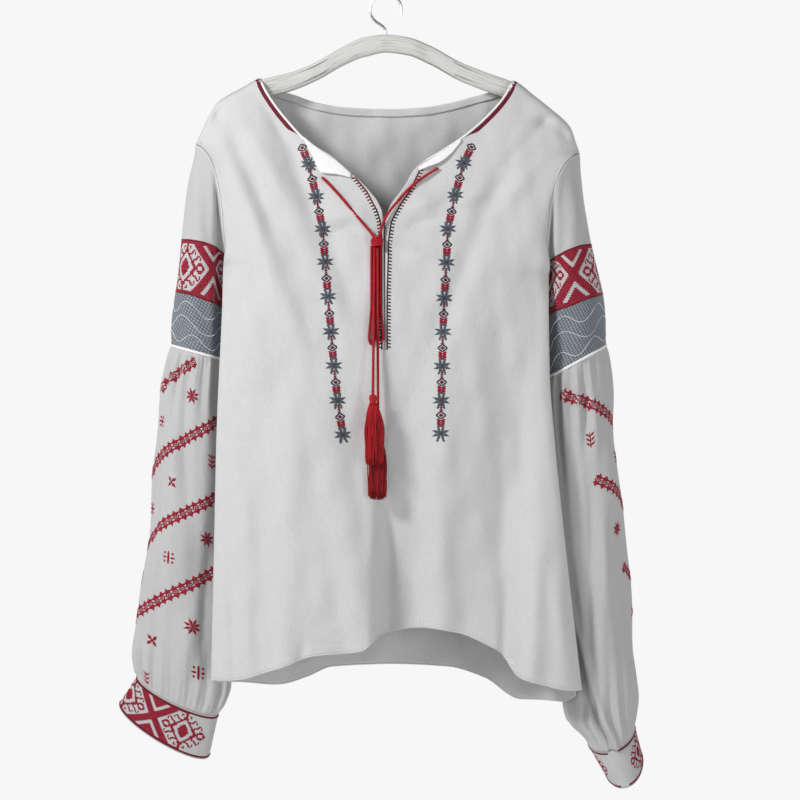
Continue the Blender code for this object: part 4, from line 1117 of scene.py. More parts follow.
def noise(nodes, links, source, scale, detail=2.0, stretch=(1.0, 1.0, 1.0)):
    """A noise texture over stretched coordinates."""
    mapping = nodes.new("ShaderNodeMapping")
    mapping.inputs["Scale"].default_value = stretch
    links.new(source, mapping.inputs["Vector"])
    texture = nodes.new("ShaderNodeTexNoise")
    texture.inputs["Scale"].default_value = scale
    texture.inputs["Detail"].default_value = detail
    links.new(mapping.outputs["Vector"], texture.inputs["Vector"])
    return texture.outputs["Fac"]


def ramp(nodes, links, value, low, high, dark, light):
    """Colours between two over a stretch of a value."""
    made = nodes.new("ShaderNodeValToRGB")
    made.color_ramp.elements[0].position = low
    made.color_ramp.elements[0].color = (*dark, 1.0)
    made.color_ramp.elements[1].position = high
    made.color_ramp.elements[1].color = (*light, 1.0)
    links.new(value, made.inputs["Fac"])
    return made.outputs["Color"]


def bump(nodes, links, height, strength, distance, before=None):
    """A bump from a height, on top of another."""
    made = nodes.new("ShaderNodeBump")
    made.inputs["Strength"].default_value = strength
    made.inputs["Distance"].default_value = distance
    links.new(height, made.inputs["Height"])
    if before is not None:
        links.new(before, made.inputs["Normal"])
    return made.outputs["Normal"]


def shade(colour, factor):
    """A colour made darker or lighter."""
    return tuple(min(1.0, c * factor) for c in colour)


def weave(nodes, links, uv, pitch):
    """The height of a plain weave with this many metres from thread to thread."""
    heights = []
    for way in ("X", "Y"):
        wave = nodes.new("ShaderNodeTexWave")
        wave.bands_direction = way
        wave.inputs["Scale"].default_value = 1.0 / pitch / 20.0 * math.pi
        wave.inputs["Distortion"].default_value = 1.2
        wave.inputs["Detail"].default_value = 1.0
        links.new(uv, wave.inputs["Vector"])
        heights.append(wave.outputs["Fac"])
    both = nodes.new("ShaderNodeMath")
    both.operation = "MULTIPLY"
    links.new(heights[0], both.inputs[0])
    links.new(heights[1], both.inputs[1])
    return both.outputs["Value"]


def cloth_finish(name, colour, roughness=0.9, pitch=0.0011, shadow=0.93):
    """Plain woven cotton: threads of uneven thickness, faint rumples and a soft sheen."""
    made, nodes, links, shader = principled(name, colour, roughness)
    uv = nodes.new("ShaderNodeUVMap").outputs["UV"]
    slub = noise(nodes, links, uv, 1.0, 3.0, (90.0, 1500.0, 1.0))
    warp = noise(nodes, links, uv, 1.0, 3.0, (1500.0, 90.0, 1.0))
    both = nodes.new("ShaderNodeMath")
    both.operation = "ADD"
    links.new(slub, both.inputs[0])
    links.new(warp, both.inputs[1])
    dark, light = shade(colour, shadow), shade(colour, 1.04)
    links.new(ramp(nodes, links, both.outputs["Value"], 0.75, 1.25, dark, light), shader.inputs["Base Color"])
    rumple = noise(nodes, links, uv, 26.0, 4.0)
    first = bump(nodes, links, rumple, 0.25, 0.004)
    second = bump(nodes, links, both.outputs["Value"], 0.35, 0.0006, first)
    woven = weave(nodes, links, uv, pitch)
    links.new(bump(nodes, links, woven, 0.25, 0.0003, second), shader.inputs["Normal"])
    shader.inputs["Sheen Weight"].default_value = 0.12
    shader.inputs["Sheen Roughness"].default_value = 0.6
    shader.inputs["Specular IOR Level"].default_value = 0.25
    return made


def thread_finish(name, colour, vary=0.25, roughness=0.6, stretch=(1.0, 1.0, 1.0)):
    """Embroidery thread: fine strands with a silky gloss, lighter and darker from stitch to stitch."""
    made, nodes, links, shader = principled(name, colour, roughness)
    place = nodes.new("ShaderNodeTexCoord").outputs["Object"]
    strand = noise(nodes, links, place, 1400.0, 2.0, stretch)
    patchy = noise(nodes, links, place, 260.0, 2.0, stretch)
    both = nodes.new("ShaderNodeMath")
    both.operation = "ADD"
    links.new(strand, both.inputs[0])
    links.new(patchy, both.inputs[1])
    dark, light = shade(colour, 1 - vary), shade(colour, 1 + vary)
    links.new(ramp(nodes, links, both.outputs["Value"], 0.75, 1.25, dark, light), shader.inputs["Base Color"])
    links.new(bump(nodes, links, strand, 0.5, 0.0004), shader.inputs["Normal"])
    shader.inputs["Specular IOR Level"].default_value = 0.2
    return made


def stitched_finish():
    """Dense grey cross-stitch: slanting rows of small cushions, with painted shade in the gaps between them,
    painted highlight on their tops, and patchy tone.
    """
    made, nodes, links, shader = principled("grey_cross_stitch", GREY_GROUND, 0.65)
    uv = nodes.new("ShaderNodeUVMap").outputs["UV"]
    turned = nodes.new("ShaderNodeMapping")
    turned.inputs["Rotation"].default_value = (0.0, 0.0, math.radians(24.0))
    links.new(uv, turned.inputs["Vector"])
    cushions = weave(nodes, links, turned.outputs["Vector"], 0.0017)
    patchy = noise(nodes, links, uv, 220.0, 3.0)
    both = nodes.new("ShaderNodeMath")
    both.operation = "MULTIPLY_ADD"
    links.new(patchy, both.inputs[0])
    both.inputs[1].default_value = 0.5
    links.new(cushions, both.inputs[2])
    # The colour follows the cushions' height: painted shade in the gaps, painted highlight on the tops, with real
    # patchy tone mixed in
    dark, light = shade(GREY_GROUND, 0.66), shade(GREY_GROUND, 1.7)
    links.new(ramp(nodes, links, both.outputs["Value"], 0.25, 0.95, dark, light), shader.inputs["Base Color"])
    links.new(bump(nodes, links, both.outputs["Value"], 0.6, 0.0006), shader.inputs["Normal"])
    shader.inputs["Specular IOR Level"].default_value = 0.2
    return made


def wood_finish():
    """White paint worn along the grain, with dark cracks and a little bare wood."""
    made, nodes, links, shader = principled("painted_wood", PAINTED_WOOD, 0.8)
    place = nodes.new("ShaderNodeUVMap").outputs["UV"]
    grain = noise(nodes, links, place, 1.0, 6.0, (30.0, 700.0, 1.0))
    crack = noise(nodes, links, place, 1.0, 3.0, (9.0, 330.0, 1.0))
    flake = noise(nodes, links, place, 90.0, 4.0)
    paint = ramp(nodes, links, grain, 0.32, 0.5, shade(PAINTED_WOOD, 0.72), PAINTED_WOOD)
    lines = ramp(nodes, links, crack, 0.36, 0.40, (0.8, 0.8, 0.8), (0.0, 0.0, 0.0))
    bare = ramp(nodes, links, flake, 0.70, 0.74, (0.0, 0.0, 0.0), (1.0, 1.0, 1.0))
    cracked = nodes.new("ShaderNodeMix")
    cracked.data_type = "RGBA"
    cracked.inputs["B"].default_value = (0.13, 0.12, 0.11, 1.0)
    links.new(lines, cracked.inputs["Factor"])
    links.new(paint, cracked.inputs["A"])
    worn = nodes.new("ShaderNodeMix")
    worn.data_type = "RGBA"
    worn.inputs["B"].default_value = (*BARE_WOOD, 1.0)
    links.new(bare, worn.inputs["Factor"])
    links.new(cracked.outputs["Result"], worn.inputs["A"])
    links.new(worn.outputs["Result"], shader.inputs["Base Color"])
    rough = bump(nodes, links, grain, 0.5, 0.001)
    links.new(bump(nodes, links, crack, 0.4, 0.001, rough), shader.inputs["Normal"])
    return made


def steel_finish():
    """Drawn steel wire with fine scratches along it."""
    made, nodes, links, shader = principled("hook_steel", STEEL, 0.32)
    shader.inputs["Metallic"].default_value = 1.0
    place = nodes.new("ShaderNodeTexCoord").outputs["Object"]
    scratch = noise(nodes, links, place, 500.0, 3.0)
    drawn = ramp(nodes, links, scratch, 0.3, 0.7, shade(STEEL, 0.85), shade(STEEL, 1.1))
    links.new(drawn, shader.inputs["Base Color"])
    links.new(bump(nodes, links, scratch, 0.15, 0.0002), shader.inputs["Normal"])
    return made


# Camera

def add_camera():
    """The photograph's view: level, from straight ahead of the hook."""
    lens = bpy.data.cameras.new("view")
    lens.sensor_width = SENSOR
    lens.lens = SENSOR * -CAMERA_AT[1] / SEEN_WIDTH
    camera = bpy.data.objects.new("view", lens)
    camera.location = [c * MM for c in CAMERA_AT]
    camera.rotation_euler = (math.pi / 2, 0.0, 0.0)
    bpy.context.scene.collection.objects.link(camera)
    bpy.context.scene.camera = camera


# Cords and tassels

ROPE_STEP = 0.8
ROPE_THICK = 3.3
ROPE_PITCH = 9.5
ROPE_SIDES = 15
KNOT_TURNS = (5.9, 7.1, 7.0, 6.4)
# Where the cords run into the knot
CORD_ENDS = {-1: (-11.6, -270.6, 6.8), 1: (-8.4, -270.6, 6.8)}
TASSEL_THREADS = 210
TASSEL_LEANS = {"upper": 1.8, "lower": -0.5}
CORD_INTO_TASSEL = 20.0


def add_rope(name, route, finish, further=0.0):
    """A twisted cord along its route, in place of its CAD tube, that may run on straight down."""
    coarse = smooth_route(route, CORD_SPACING)
    if further:
        coarse = np.concatenate([coarse, [coarse[-1] - (0.0, 0.0, further)]])
    run = run_along(coarse)
    path = smooth(run, coarse, np.linspace(0, run[-1], int(run[-1] / ROPE_STEP)))
    points, faces = tube_mesh(path, ROPE_THICK / 2, ROPE_SIDES, lobes=3, pitch=ROPE_PITCH, groove=0.42,
                              ends=0.8)
    made = add_object(name + "_rope", points, faces, finish)
    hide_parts(name)
    return made


def add_knot(finish):
    """The knot: four twisted turns of cord round the bundle, and a core."""
    x, z, away = KNOT_CENTRE
    centre = np.array(off_cloth(x + 0.8, z, away))
    parts = []
    for turn, wide in enumerate(KNOT_TURNS):
        angle = np.linspace(0, 2 * math.pi, 60)
        ringed = np.stack([np.cos(angle) * (wide - ROPE_THICK / 2), np.sin(angle) * (KNOT_HALF[1] - 1.3),
                           3.9 - 2.6 * turn + np.cos(angle) * 0.7], 1)
        parts.append(tube_mesh(centre + ringed, ROPE_THICK / 2, ROPE_SIDES, lobes=3, pitch=ROPE_PITCH,
                               groove=0.4))
    sphere_rows = []
    for height in np.linspace(-0.98, 0.98, 12):
        wide = math.sqrt(1 - height**2)
        angle = turns(24)
        sphere_rows.append(centre + np.stack([np.cos(angle) * wide * (KNOT_TURNS[0] - 0.8),
                                              np.sin(angle) * wide * (KNOT_HALF[1] - 1.4),
                                              np.full(24, height * KNOT_HALF[2])], 1))
    parts.append(capped(np.array(sphere_rows)))
    points, faces = join_meshes(parts)
    made = add_object("knot_turns", points, faces, finish)
    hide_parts("cord_knot")
    return made


def add_tassel(name, x, top, away, bottom, lean, finish, seed):
    """A tassel: a wrapped head, and many fine threads that spread below it and fall."""
    random = np.random.default_rng(seed)
    middle_y = off_cloth(x, top - 9.0, away)[1]
    parts = []
    angle = turns(20)
    rows = []
    for down in np.linspace(0, 1, 40):
        wide = smooth([0.0, 0.12, 0.45, 0.7, 0.85, 1.0], [0.35, 0.8, 1.0, 0.86, 0.8, 0.95], down) * 4.3
        wide = wide + 0.22 * math.sin(down * 40 * math.pi / 3.2)
        rows.append(np.stack([x + np.cos(angle) * wide, middle_y + np.sin(angle) * wide * 0.85,
                              np.full(20, top - 10.5 * down)], 1))
    parts.append(capped(np.array(rows)))
    for _ in range(TASSEL_THREADS):
        turn = random.uniform(0, 2 * math.pi)
        reach = math.sqrt(random.uniform(0, 1))
        out_x, out_y = math.cos(turn) * reach, math.sin(turn) * reach
        start = np.array([x + out_x * 3.4, middle_y + out_y * 2.8, top - 9.2])
        wide = random.uniform(9.4, 11.4)
        end = np.array([x + lean + out_x * wide, middle_y + out_y * 3.1,
                        bottom + random.uniform(-1.5, 2.5) + 4.0 * reach**4])
        steps = np.linspace(0, 1, 11)[:, None]
        spread = np.sin(np.minimum(steps * 2.2, 1.0) * math.pi / 2) * (1.0 - 0.10 * steps)
        path = start + (end - start) * np.concatenate([spread, spread, steps], 1)
        sway = random.uniform(-0.8, 0.8, 2)
        path[:, 0] += sway[0] * np.sin(steps[:, 0] * 9 + turn)
        path[:, 1] += sway[1] * np.sin(steps[:, 0] * 7 + turn) * 0.5
        parts.append(tube_mesh(path, 0.52, 4, ends=0.7))
    points, faces = join_meshes(parts)
    made = add_object(name + "_threads", points, faces, finish)
    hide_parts(name)
    return made


def add_cords(cord, skirts):
    """The drawstring with its knot, loops, tails and tassels."""
    knot = add_knot(cord)
    for seed, (word, (x, top, away, bottom)) in enumerate(TASSELS.items()):
        add_tassel("tassel_" + word, x, top, away, bottom, TASSEL_LEANS[word], skirts[word],
                                   seed + 3)
    for side, word, route in ((-1, "left", LEFT_CORD), (1, "right", RIGHT_CORD)):
        add_rope("cord_" + word, [off_cloth(*p) for p in (*route, CORD_ENDS[side])], cord)
    for word, sizes in LOOPS.items():
        add_rope("cord_loop_" + word, loop_route(*sizes), cord)
    for word, sizes in TAILS.items():
        add_rope("cord_tail_" + word, tail_route(*sizes), cord, CORD_INTO_TASSEL)


# The blouse

def slit_front(grid):
    """The front's points and faces, parted along the slit."""
    rows, columns = grid.shape[:2]
    middle = columns // 2
    points = [tuple(p) for p in grid.reshape(-1, 3)]
    copies = {}
    for row in range(rows):
        _, y, z = grid[row, middle]
        if z < SLIT_BOTTOM:
            break
        depth = (grid[0, middle, 2] - z) / (grid[0, middle, 2] - SLIT_BOTTOM)
        gap = SLIT_GAP / 2 * (1 - 0.85 * depth)
        points[row * columns + middle] = (SLIT_X - gap, y, z)
        copies[row] = len(points)
        points.append((SLIT_X + gap, y, z))
    faces = []
    for row in range(rows - 1):
        for column in range(columns - 1):
            face = []
            for r, c in ((row, column), (row + 1, column), (row + 1, column + 1), (row, column + 1)):
                right_edge = column >= middle and c == middle and r in copies
                face.append(copies[r] if right_edge else r * columns + c)
            faces.append(tuple(face))
    return points, faces


def add_piping(name, path, radius, finish, close=False):
    """A thin raised line of cloth or thread along a path."""
    path = np.asarray(path, float)
    if close:
        path = np.concatenate([path, path[:1]])
    points, faces = tube_mesh(even_path(path, 2.5), radius, 8)
    made = add_object(name, points, faces, finish)
    return made


def neck_lines(offsets, from_x, to_x):
    """Lines beside a neck edge, at distances into the cloth, seen from the front."""
    x = np.linspace(from_x, to_x, 60)
    z = smooth(FRONT_NECK["x"], FRONT_NECK["z"], x)
    along = np.stack([np.gradient(x), np.gradient(z)], 1)
    along /= np.linalg.norm(along, axis=1, keepdims=True)
    into = np.stack([along[:, 1], -along[:, 0]], 1)
    into *= np.sign(-into[:, 1:2])
    return [np.stack([x, z], 1) + into * np.reshape(offset, (-1, 1)) for offset in offsets]


def add_neck_stripe(place, side, stripe, binding):
    """The dark stripe beside the neck edge, drawn to a point, and the white binding on the edge."""
    neck_end = FRONT_NECK["x"][0] + 0.4 if side < 0 else FRONT_NECK["x"][-1] - 0.4
    share = np.linspace(0, 1, 60)
    taper = ease((1 - share) / 0.25)
    inner = np.full(60, 2.3)
    outer = inner + 4.3 * taper
    lines = neck_lines((inner, (inner + outer) / 2, outer), neck_end, STRIPE_ENDS[side])
    rows = [place(line, np.full(60, lift)) for line, lift in zip(lines, (0.05, 0.55, 0.05))]
    grid = np.array(rows)
    word = "left" if side < 0 else "right"
    made = add_object("neck_stripe_" + word, grid.reshape(-1, 3), grid_faces(3, 60, False), stripe)
    line = neck_lines((np.full(60, 0.9),), neck_end, BINDING_ENDS[side])[0]
    add_piping("neck_binding_" + word, place(line, np.full(60, -0.1)), 1.15, binding)


STRIPE_ENDS = {-1: -93.0, 1: 84.5}
BINDING_ENDS = {-1: -52.0, 1: 44.0}


def flap_grid(side):
    """The facing turned out at one side of the neck hole."""
    edges = FLAPS[side]
    steps = np.arange(len(edges["proud"]))
    at = np.linspace(0, steps[-1], 41)
    rows = []
    for share in np.linspace(0, 1, 13):
        upper = [smooth(steps, edges["upper_" + a], at) for a in "xz"]
        lower = [smooth(steps, edges["lower_" + a], at) for a in "xz"]
        x = upper[0] + (lower[0] - upper[0]) * share
        z = upper[1] + (lower[1] - upper[1]) * share
        proud = 1.9 + (smooth(steps, edges["proud"], at) - 1.9) * math.sin(share * math.pi / 2)
        rows.append(np.stack([x, front_depth(x, z) - proud - 0.4, z], 1))
    return np.array(rows)


def back_facing_grid(back):
    """The facing inside the back of the neck hole."""
    kept = [i for i in range(back.shape[1]) if abs(back[0, i, 0]) < 132.0]
    rows = []
    for drop in np.linspace(0.3, 8.6, 7):
        row = []
        for i in kept:
            column = back[:, i]
            run = column[0, 2] - column[:, 2]
            row.append([np.interp(drop, run, column[:, a]) for a in range(3)])
        rows.append(row)
    return np.array(rows) - (0.0, 1.4, 0.0)


def add_body(cotton, facing):
    """Front and back panels and the neck facings."""
    front = panel_grid(FRONT_EDGE, FRONT_NECK, FRONT_HEM, front_skin, LIP)
    back = panel_grid(BACK_EDGE, BACK_NECK, BACK_HEM, back_skin, 0.0)
    points, faces = slit_front(front)
    add_cloth("blouse_front", front, cotton, points=points, faces=faces)
    add_cloth("blouse_back", back, cotton)
    add_cloth("neck_facing_back", back_facing_grid(back), cotton)
    for side, word in ((-1, "left"), (1, "right")):
        add_cloth("neck_flap_" + word, flap_grid(side), facing, wall=0.8)
    return front, back


def run_stitches(stitches, path, colour, long=2.4, gap=1.4, width=0.5, lift=0.22):
    """A line of small running stitches."""
    spots = even_path(path, (long + gap) / 2)
    for i in range(0, len(spots) - 1, 2):
        stitches.thread(spots[i], spots[i + 1], width, colour, lift)


def add_front_sewing(front, finishes):
    """Everything that is stitched on the front: strips, combs, hem line."""
    place = FrontPlace(front)
    stitches = Stitches(place)
    for side in (-1, 1):
        stitch_strip(stitches, side)
    stitch_comb(stitches, COMB_RIGHT, np.array([4.2, -1.0]), COMB_PITCH, ("maroon", "black"))
    stitch_comb(stitches, COMB_LEFT, np.array([-4.0, -1.6]), COMB_PITCH, ("maroon", "black"))
    for flank in (-1, 1):
        across = SLIT_X + flank * 2.2
        stitches.thread((across + 5.2, -229.5 - flank), (across + 6.0, -236.5 - flank), 1.2, "white")
    stitches.make("front_stitch", finishes)
    hem = Stitches(place)
    x = np.linspace(-178.0, 198.0, 120)
    run_stitches(hem, np.stack([x, smooth(FRONT_HEM["x"], FRONT_HEM["z"], x) + 9.5], 1), "white")
    hem.make("front_hem", finishes)
    return place


def add_hem(name, grid, finish):
    """The turned edge along a panel's hem."""
    add_piping(name, grid[-1] + (0.0, 0.0, 0.5), 0.95, finish)


def add_sleeve(side, finishes, cotton, grey_ground, piping):
    """One sleeve with its bands, slanting rows, cuff and piping."""
    word = "left" if side < 0 else "right"
    upper = Cloth(upper_sleeve_grid(side))
    lower = Cloth(lower_sleeve_grid(side))
    cuff = Cloth(cuff_grid(side), CUFF_WALL)
    add_cloth("sleeve_upper_" + word, upper.grid, cotton, closed=True)
    add_cloth("sleeve_lower_" + word, lower.grid, cotton, closed=True)
    add_cloth("cuff_" + word, cuff.grid, cotton, closed=True, wall=CUFF_WALL)
    anchors = BAND_ANCHORS[side]

    red = Stretch(upper, RED_TOP[side], RED_END[side], anchors["upper"])
    stitches = Stitches(red)
    half = int(red.round / UPPER_CELL / 2)
    stitch_band(stitches, -half, half, UPPER_CELL)
    edge_lines(stitches, -red.round / 2, red.round / 2, (0.0, 1.0), red.high)
    stitches.make("red_band_" + word, finishes)

    grey = Stretch(upper, RED_END[side], 1.0, 0.0)
    spots = np.array([(grey.round * c / 120, r / 30) for r in range(31) for c in range(120)])
    cover = grey(spots, np.full(len(spots), 0.25))
    u = spots[:, 0]
    v = spots[:, 1] * grey.high
    sheet = add_object("grey_band_" + word, cover, grid_faces(31, 120, True), grey_ground,
                       uv=np.stack([u, -v], 1))
    lines = Stitches(grey)
    for row, (level, high, waves) in enumerate(((0.24, 0.11, 5), (0.52, 0.13, 4), (0.8, 0.09, 6))):
        at = np.linspace(0, 1, 181)
        phase = waves * at + 0.31 * row + 0.2 * side
        path = np.stack([at * grey.round, level + high * np.sin(2 * math.pi * phase)], 1)
        for i in range(180):
            lines.thread(path[i], path[i + 1], 1.0, "white", 0.75, (1.0, grey.high))
    lines.make("grey_waves_" + word, finishes)

    long = np.linalg.norm(np.diff(lower.grid, axis=0), axis=2).sum(axis=0).mean()
    flat = Stretch(lower, 0.0, 1.0, 0.0)
    scale = (1.0, long)
    rows = Stitches(flat)
    half = flat.round / 2 * 0.93
    for number, reach in enumerate(ROW_REACH[side]):
        outer = ROW_FIRST[side] + number * ROW_PITCH[side]
        start = (-half, (outer + ROW_SLOPE * half) / long)
        end = (reach, (outer - ROW_SLOPE * reach) / long)
        zigzag_band(rows, *clip_row(start, end, 0.02, 0.88), *scale)
    for kind, across, gap in FILLINGS[side]:
        down = ROW_FIRST[side] + gap * ROW_PITCH[side] - ROW_SLOPE * across
        small_motif(rows, kind, across, down / long, scale)
    rows.make("sleeve_rows_" + word, finishes)

    wrist = Stretch(cuff, 0.02, 0.97, anchors["cuff"])
    band = Stitches(wrist)
    cell = CUFF_CELL[side]
    stitch_band(band, anchors["first"], anchors["last"], cell, anchors["crossed"])
    for level in (0.02, 0.98):
        edge_lines(band, (anchors["first"] - anchors["line"]) * cell,
                   (anchors["last"] + anchors["line"]) * cell, (level,),
                   wrist.high)
    band.make("cuff_band_" + word, finishes)

    for join, (path, radius, lift) in {"armhole": (upper.grid[1], 0.5, 0.1),
                                       "gather_join": (upper.grid[-1], 1.5, 0.5)}.items():
        outward = path - path.mean(axis=0)
        outward /= np.linalg.norm(outward, axis=1, keepdims=True)
        add_piping(join + "_" + word, path + outward * lift, radius, piping, close=True)


def clip_row(start, end, top, bottom):
    """A slanting row's ends, kept between two heights."""
    start = np.array(start, float)
    end = np.array(end, float)
    step = end - start
    cuts = []
    for share in (0.0, 1.0):
        cuts.append(np.clip(share, *sorted(((top - start[1]) / step[1], (bottom - start[1]) / step[1]))))
    return start + step * cuts[0], start + step * cuts[1]


ARM_ROLL = 1.6
# Where the sleeve's inner part turns back behind a fold, and how sharply
VALLEY_X = {-1: 188.5, 1: 185.0}
VALLEY_STEP = 4.5
VALLEY_DEPTH = {-1: 0.5, 1: 0.55}
VALLEY_BROW = 1.2
CUFF_WALL = 1.6
UPPER_CELL = 1.9
CUFF_CELL = {-1: 1.6, 1: 1.46}
# The red band's upper edge round the sleeve: degrees from the outer side, and its height there
RED_TOP = {-1: table("angle z", [(0, -268.5), (60, -271), (110, -276.5), (150, -287), (180, -295)]),
           1: table("angle z", [(0, -273.5), (60, -277), (90, -282), (125, -289.5), (150, -297.5),
                                (180, -307)])}
# The edge between the red band and the grey one
RED_END = {-1: table("angle z", [(0, -325), (60, -329), (90, -334), (125, -340), (150, -346),
                                 (180, -352)]),
           1: table("angle z", [(0, -328), (60, -334), (90, -341), (125, -347.5), (150, -353),
                                (180, -357)])}
# Where the bands' crosses lie round a sleeve in degrees from its outer side, the cells the cuff's band runs
# from and to, and how much further its edge lines run
BAND_ANCHORS = {-1: {"upper": 118.5, "cuff": 66.5, "first": -85, "last": 39, "line": 9, "crossed": (-85, 23)},
                1: {"upper": 84.5, "cuff": 210.0, "first": -38, "last": 84, "line": 7, "crossed": (-23, 69)}}
# Slanting rows of a lower sleeve: how far below the gathers they start at the outer side, how far apart
# they are, how much they rise towards the body, and how far each runs to the body
ROW_SLOPE = 0.70
ROW_PITCH = {-1: 84.0, 1: 82.0}
ROW_FIRST = {-1: 60.0, 1: 92.0}
ROW_REACH = {-1: (150.0, 150.0, 150.0, 150.0), 1: (96.0, 64.0, 27.0, -5.0)}
# Slanting folds of a lower sleeve: degrees from the outer side, share of the way down, half height and half
# width, how much it turns on the way down, and how far it stands out
SLEEVE_FOLDS = {
    -1: ((60.0, 0.30, 0.16, 9.0, 60.0, 2.6), (84.0, 0.34, 0.18, 9.0, 60.0, -2.6),
         (44.0, 0.62, 0.16, 10.0, -50.0, 3.0),
         (100.0, 0.80, 0.13, 8.0, -40.0, 3.0), (116.0, 0.80, 0.13, 8.0, -40.0, -3.0)),
    1: ((101.0, 0.86, 0.17, 6.0, -128.0, 6.5), (113.0, 0.86, 0.17, 6.0, -128.0, -6.5),
        (70.0, 0.55, 0.18, 10.0, 70.0, 3.2),
        (92.0, 0.55, 0.18, 9.0, 70.0, -3.2), (60.0, 0.14, 0.10, 8.0, 90.0, 3.0),
        (80.0, 0.15, 0.10, 8.0, 90.0, -3.0))}
# Small motifs: kind, how far from the outer side, and which gap between the rows
FILLINGS = {
    -1: (("star", 72.0, 0.46), ("cross", 28.0, 0.52), ("rosette", -30.0, 0.5), ("sprig", 100.0, 1.5),
         ("rosette", 52.0, 1.48), ("cross", 4.0, 1.52), ("sprig", -44.0, 1.5), ("star", 98.0, 2.5),
         ("cross", 56.0, 2.5), ("sprig", 10.0, 2.5), ("rosette", -40.0, 2.5), ("star", 85.0, 3.55),
         ("rosette", 42.0, 3.5), ("sprig", -4.0, 3.5), ("cross", -52.0, 3.5), ("cross", 92.0, 4.14),
         ("sprig", 36.0, 4.0)),
    1: (("sprig", 62.0, 0.5), ("cross", 22.0, 0.5), ("rosette", -24.0, 0.5), ("star", 30.0, 1.53),
        ("cross", -14.0, 1.5), ("sprig", -60.0, 1.5), ("rosette", 2.0, 2.5), ("star", -44.0, 2.5),
        ("cross", -84.0, 0.5), ("rosette", -88.0, 2.5))}


def add_hanger(wood):
    """The hanger's bar with rounded edges, in place of its coarser CAD node."""
    sides = 28
    places = np.linspace(BAR_TOP["x"][0], BAR_TOP["x"][-1], 150)
    tops = smooth(BAR_TOP["x"], BAR_TOP["z"], places)
    highs = smooth(BAR_TOP["x"], BAR_TOP["high"], places)
    turn = turns(sides)
    rows = []
    for x, z, high in zip(places, tops, highs):
        narrow = min(1.0, 0.45 + 0.55 * (high - 10.0) / 10.0)
        across = np.sign(np.cos(turn)) * np.abs(np.cos(turn)) ** 0.6 * BAR_THICK / 2 * narrow
        up = np.sign(np.sin(turn)) * np.abs(np.sin(turn)) ** 0.75 * high / 2
        rows.append(np.stack([np.full(sides, x), across, z - high / 2 + up], 1))
    grid = np.array(rows)
    last = len(places) - 1
    faces = grid_faces(len(places), sides, True)
    faces += [tuple(range(sides)), tuple(reversed(range(last * sides, (last + 1) * sides)))]
    spine = np.stack([places, tops], 1)
    run = run_along(spine)
    uv = np.stack([np.repeat(run, sides), np.tile(np.abs(turn - math.pi) * 9.0, len(places))], 1)
    made = add_object("hanger_bar_painted", grid.reshape(-1, 3), faces, wood, uv=uv)
    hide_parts("hanger_bar")


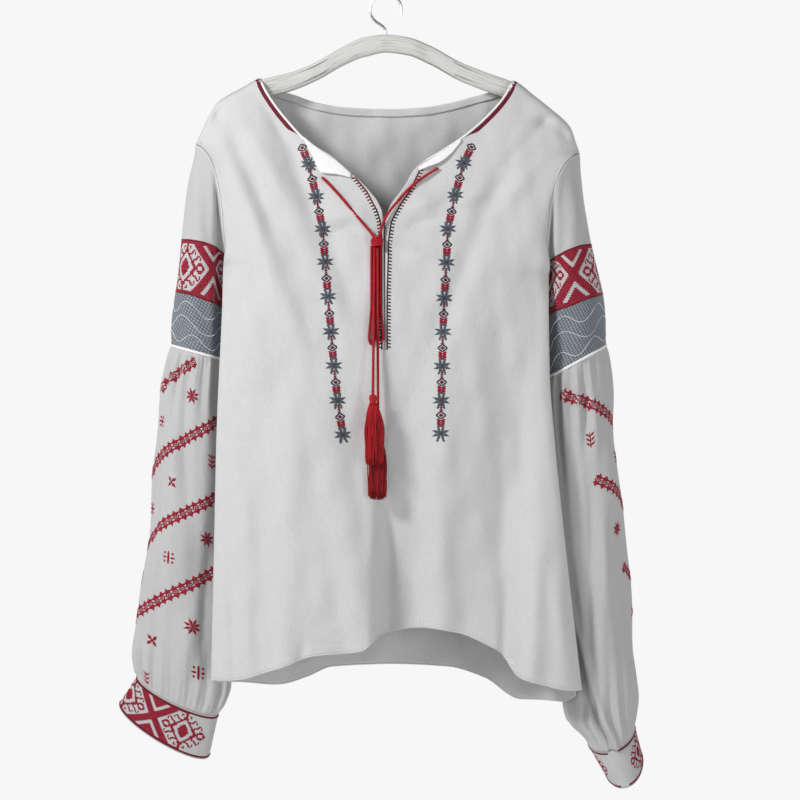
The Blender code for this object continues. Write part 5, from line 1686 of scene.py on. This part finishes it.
def add_stage():
    """A pale floor, a white world and soft lights."""
    mesh = bpy.data.meshes.new("floor")
    half, level = 3.0, -1.35
    mesh.from_pydata([(-half, -half, level), (half, -half, level), (half, half, level), (-half, half, level)],
                     [], [(0, 1, 2, 3)])
    floor_finish, _, _, _ = principled("floor_paint", (0.92, 0.92, 0.92), 0.9)
    mesh.materials.append(floor_finish)
    floor = bpy.data.objects.new("floor", mesh)
    bpy.context.scene.collection.objects.link(floor)
    world = bpy.data.worlds.new("studio")
    world.use_nodes = True
    nodes = world.node_tree.nodes
    links = world.node_tree.links
    towards = nodes.new("ShaderNodeTexCoord").outputs["Generated"]
    parts = nodes.new("ShaderNodeSeparateXYZ")
    links.new(towards, parts.inputs["Vector"])
    sky = ramp(nodes, links, parts.outputs["Z"], 0.24, 0.55, (WALL_WHITE,) * 3, (CEILING_GREY,) * 3)
    room = nodes.new("ShaderNodeMix")
    room.data_type = "RGBA"
    room.blend_type = "MULTIPLY"
    room.inputs["Factor"].default_value = 1.0
    links.new(sky, room.inputs["A"])
    dim = (ROOM_IN_FRONT,) * 3
    links.new(ramp(nodes, links, parts.outputs["Y"], 0.0, 0.12, dim, (1.0, 1.0, 1.0)), room.inputs["B"])
    links.new(room.outputs["Result"], nodes["Background"].inputs["Color"])
    nodes["Background"].inputs["Strength"].default_value = 1.0
    bpy.context.scene.world = world
    for name, place, size, power in LIGHTS:
        lamp = bpy.data.lights.new(name, "AREA")
        lamp.shape = "SQUARE"
        lamp.size = size
        lamp.energy = power
        made = bpy.data.objects.new(name, lamp)
        made.location = place
        aim = Vector((0.0, 0.0, -0.42)) - Vector(place)
        made.rotation_euler = aim.to_track_quat("-Z", "Y").to_euler()
        bpy.context.scene.collection.objects.link(made)
    bpy.context.scene.view_settings.view_transform = "Standard"


WALL_WHITE = 0.93
CEILING_GREY = 0.24
# How bright the room is on the side that the front faces, next to the wall behind
ROOM_IN_FRONT = 0.62
LIGHTS = (("key", (-1.55, -1.35, 0.75), 0.45, 45.0), ("fill", (1.45, -1.7, -0.75), 0.5, 10.0),
          ("back", (0.9, 2.2, 0.5), 0.8, 16.0))


def build():
    """Everything, cords first."""
    add_camera()
    cord = thread_finish("cord_thread", CORD_RED, 0.35, 0.6)
    strands = (1.0, 1.0, 0.05)
    skirts = {"upper": thread_finish("tassel_thread", TASSEL_RED, 0.6, 0.5, strands),
              # The lower tassel's thread is the same red made darker, as painted shade where it hangs behind the
              # upper tassel
              "lower": thread_finish("tassel_thread_painted_shade", shade(TASSEL_RED, 0.62), 0.6, 0.5, strands)}
    add_cords(cord, skirts)
    cotton = cloth_finish("white_cotton_weave", COTTON)
    # The sleeves' cotton is the body's cotton made darker, as painted shade over both sleeves
    painted_shade_sleeve_cotton = cloth_finish("sleeve_cotton_weave_painted_shade", shade(COTTON, 0.82))
    facing = cloth_finish("facing_weave", FACING_WHITE)
    grey_ground = stitched_finish()
    finishes = {
        "red": (thread_finish("thread_red", THREAD_RED), "red_embroidery"),
        "maroon": (thread_finish("thread_maroon", THREAD_MAROON), "red_embroidery"),
        "black": (thread_finish("thread_black", THREAD_BLACK), "dark_thread"),
        "grey": (thread_finish("thread_grey", THREAD_GREY), "grey_embroidery"),
        "slate": (thread_finish("thread_slate", THREAD_SLATE), "grey_embroidery"),
        "white": (thread_finish("thread_white", THREAD_WHITE, 0.08), "facing_cotton")}
    front, back = add_body(cotton, facing)
    place = add_front_sewing(front, finishes)
    add_hem("hem_edge_front", front, cotton)
    add_hem("hem_edge_back", back, cotton)
    for side in (-1, 1):
        add_neck_stripe(place, side, finishes["maroon"][0], facing)
        add_sleeve(side, finishes, painted_shade_sleeve_cotton, grey_ground, facing)
    add_hanger(wood_finish())
    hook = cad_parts["hanger_hook"]
    hook.material_slots[0].material = steel_finish()
    add_stage()


build()
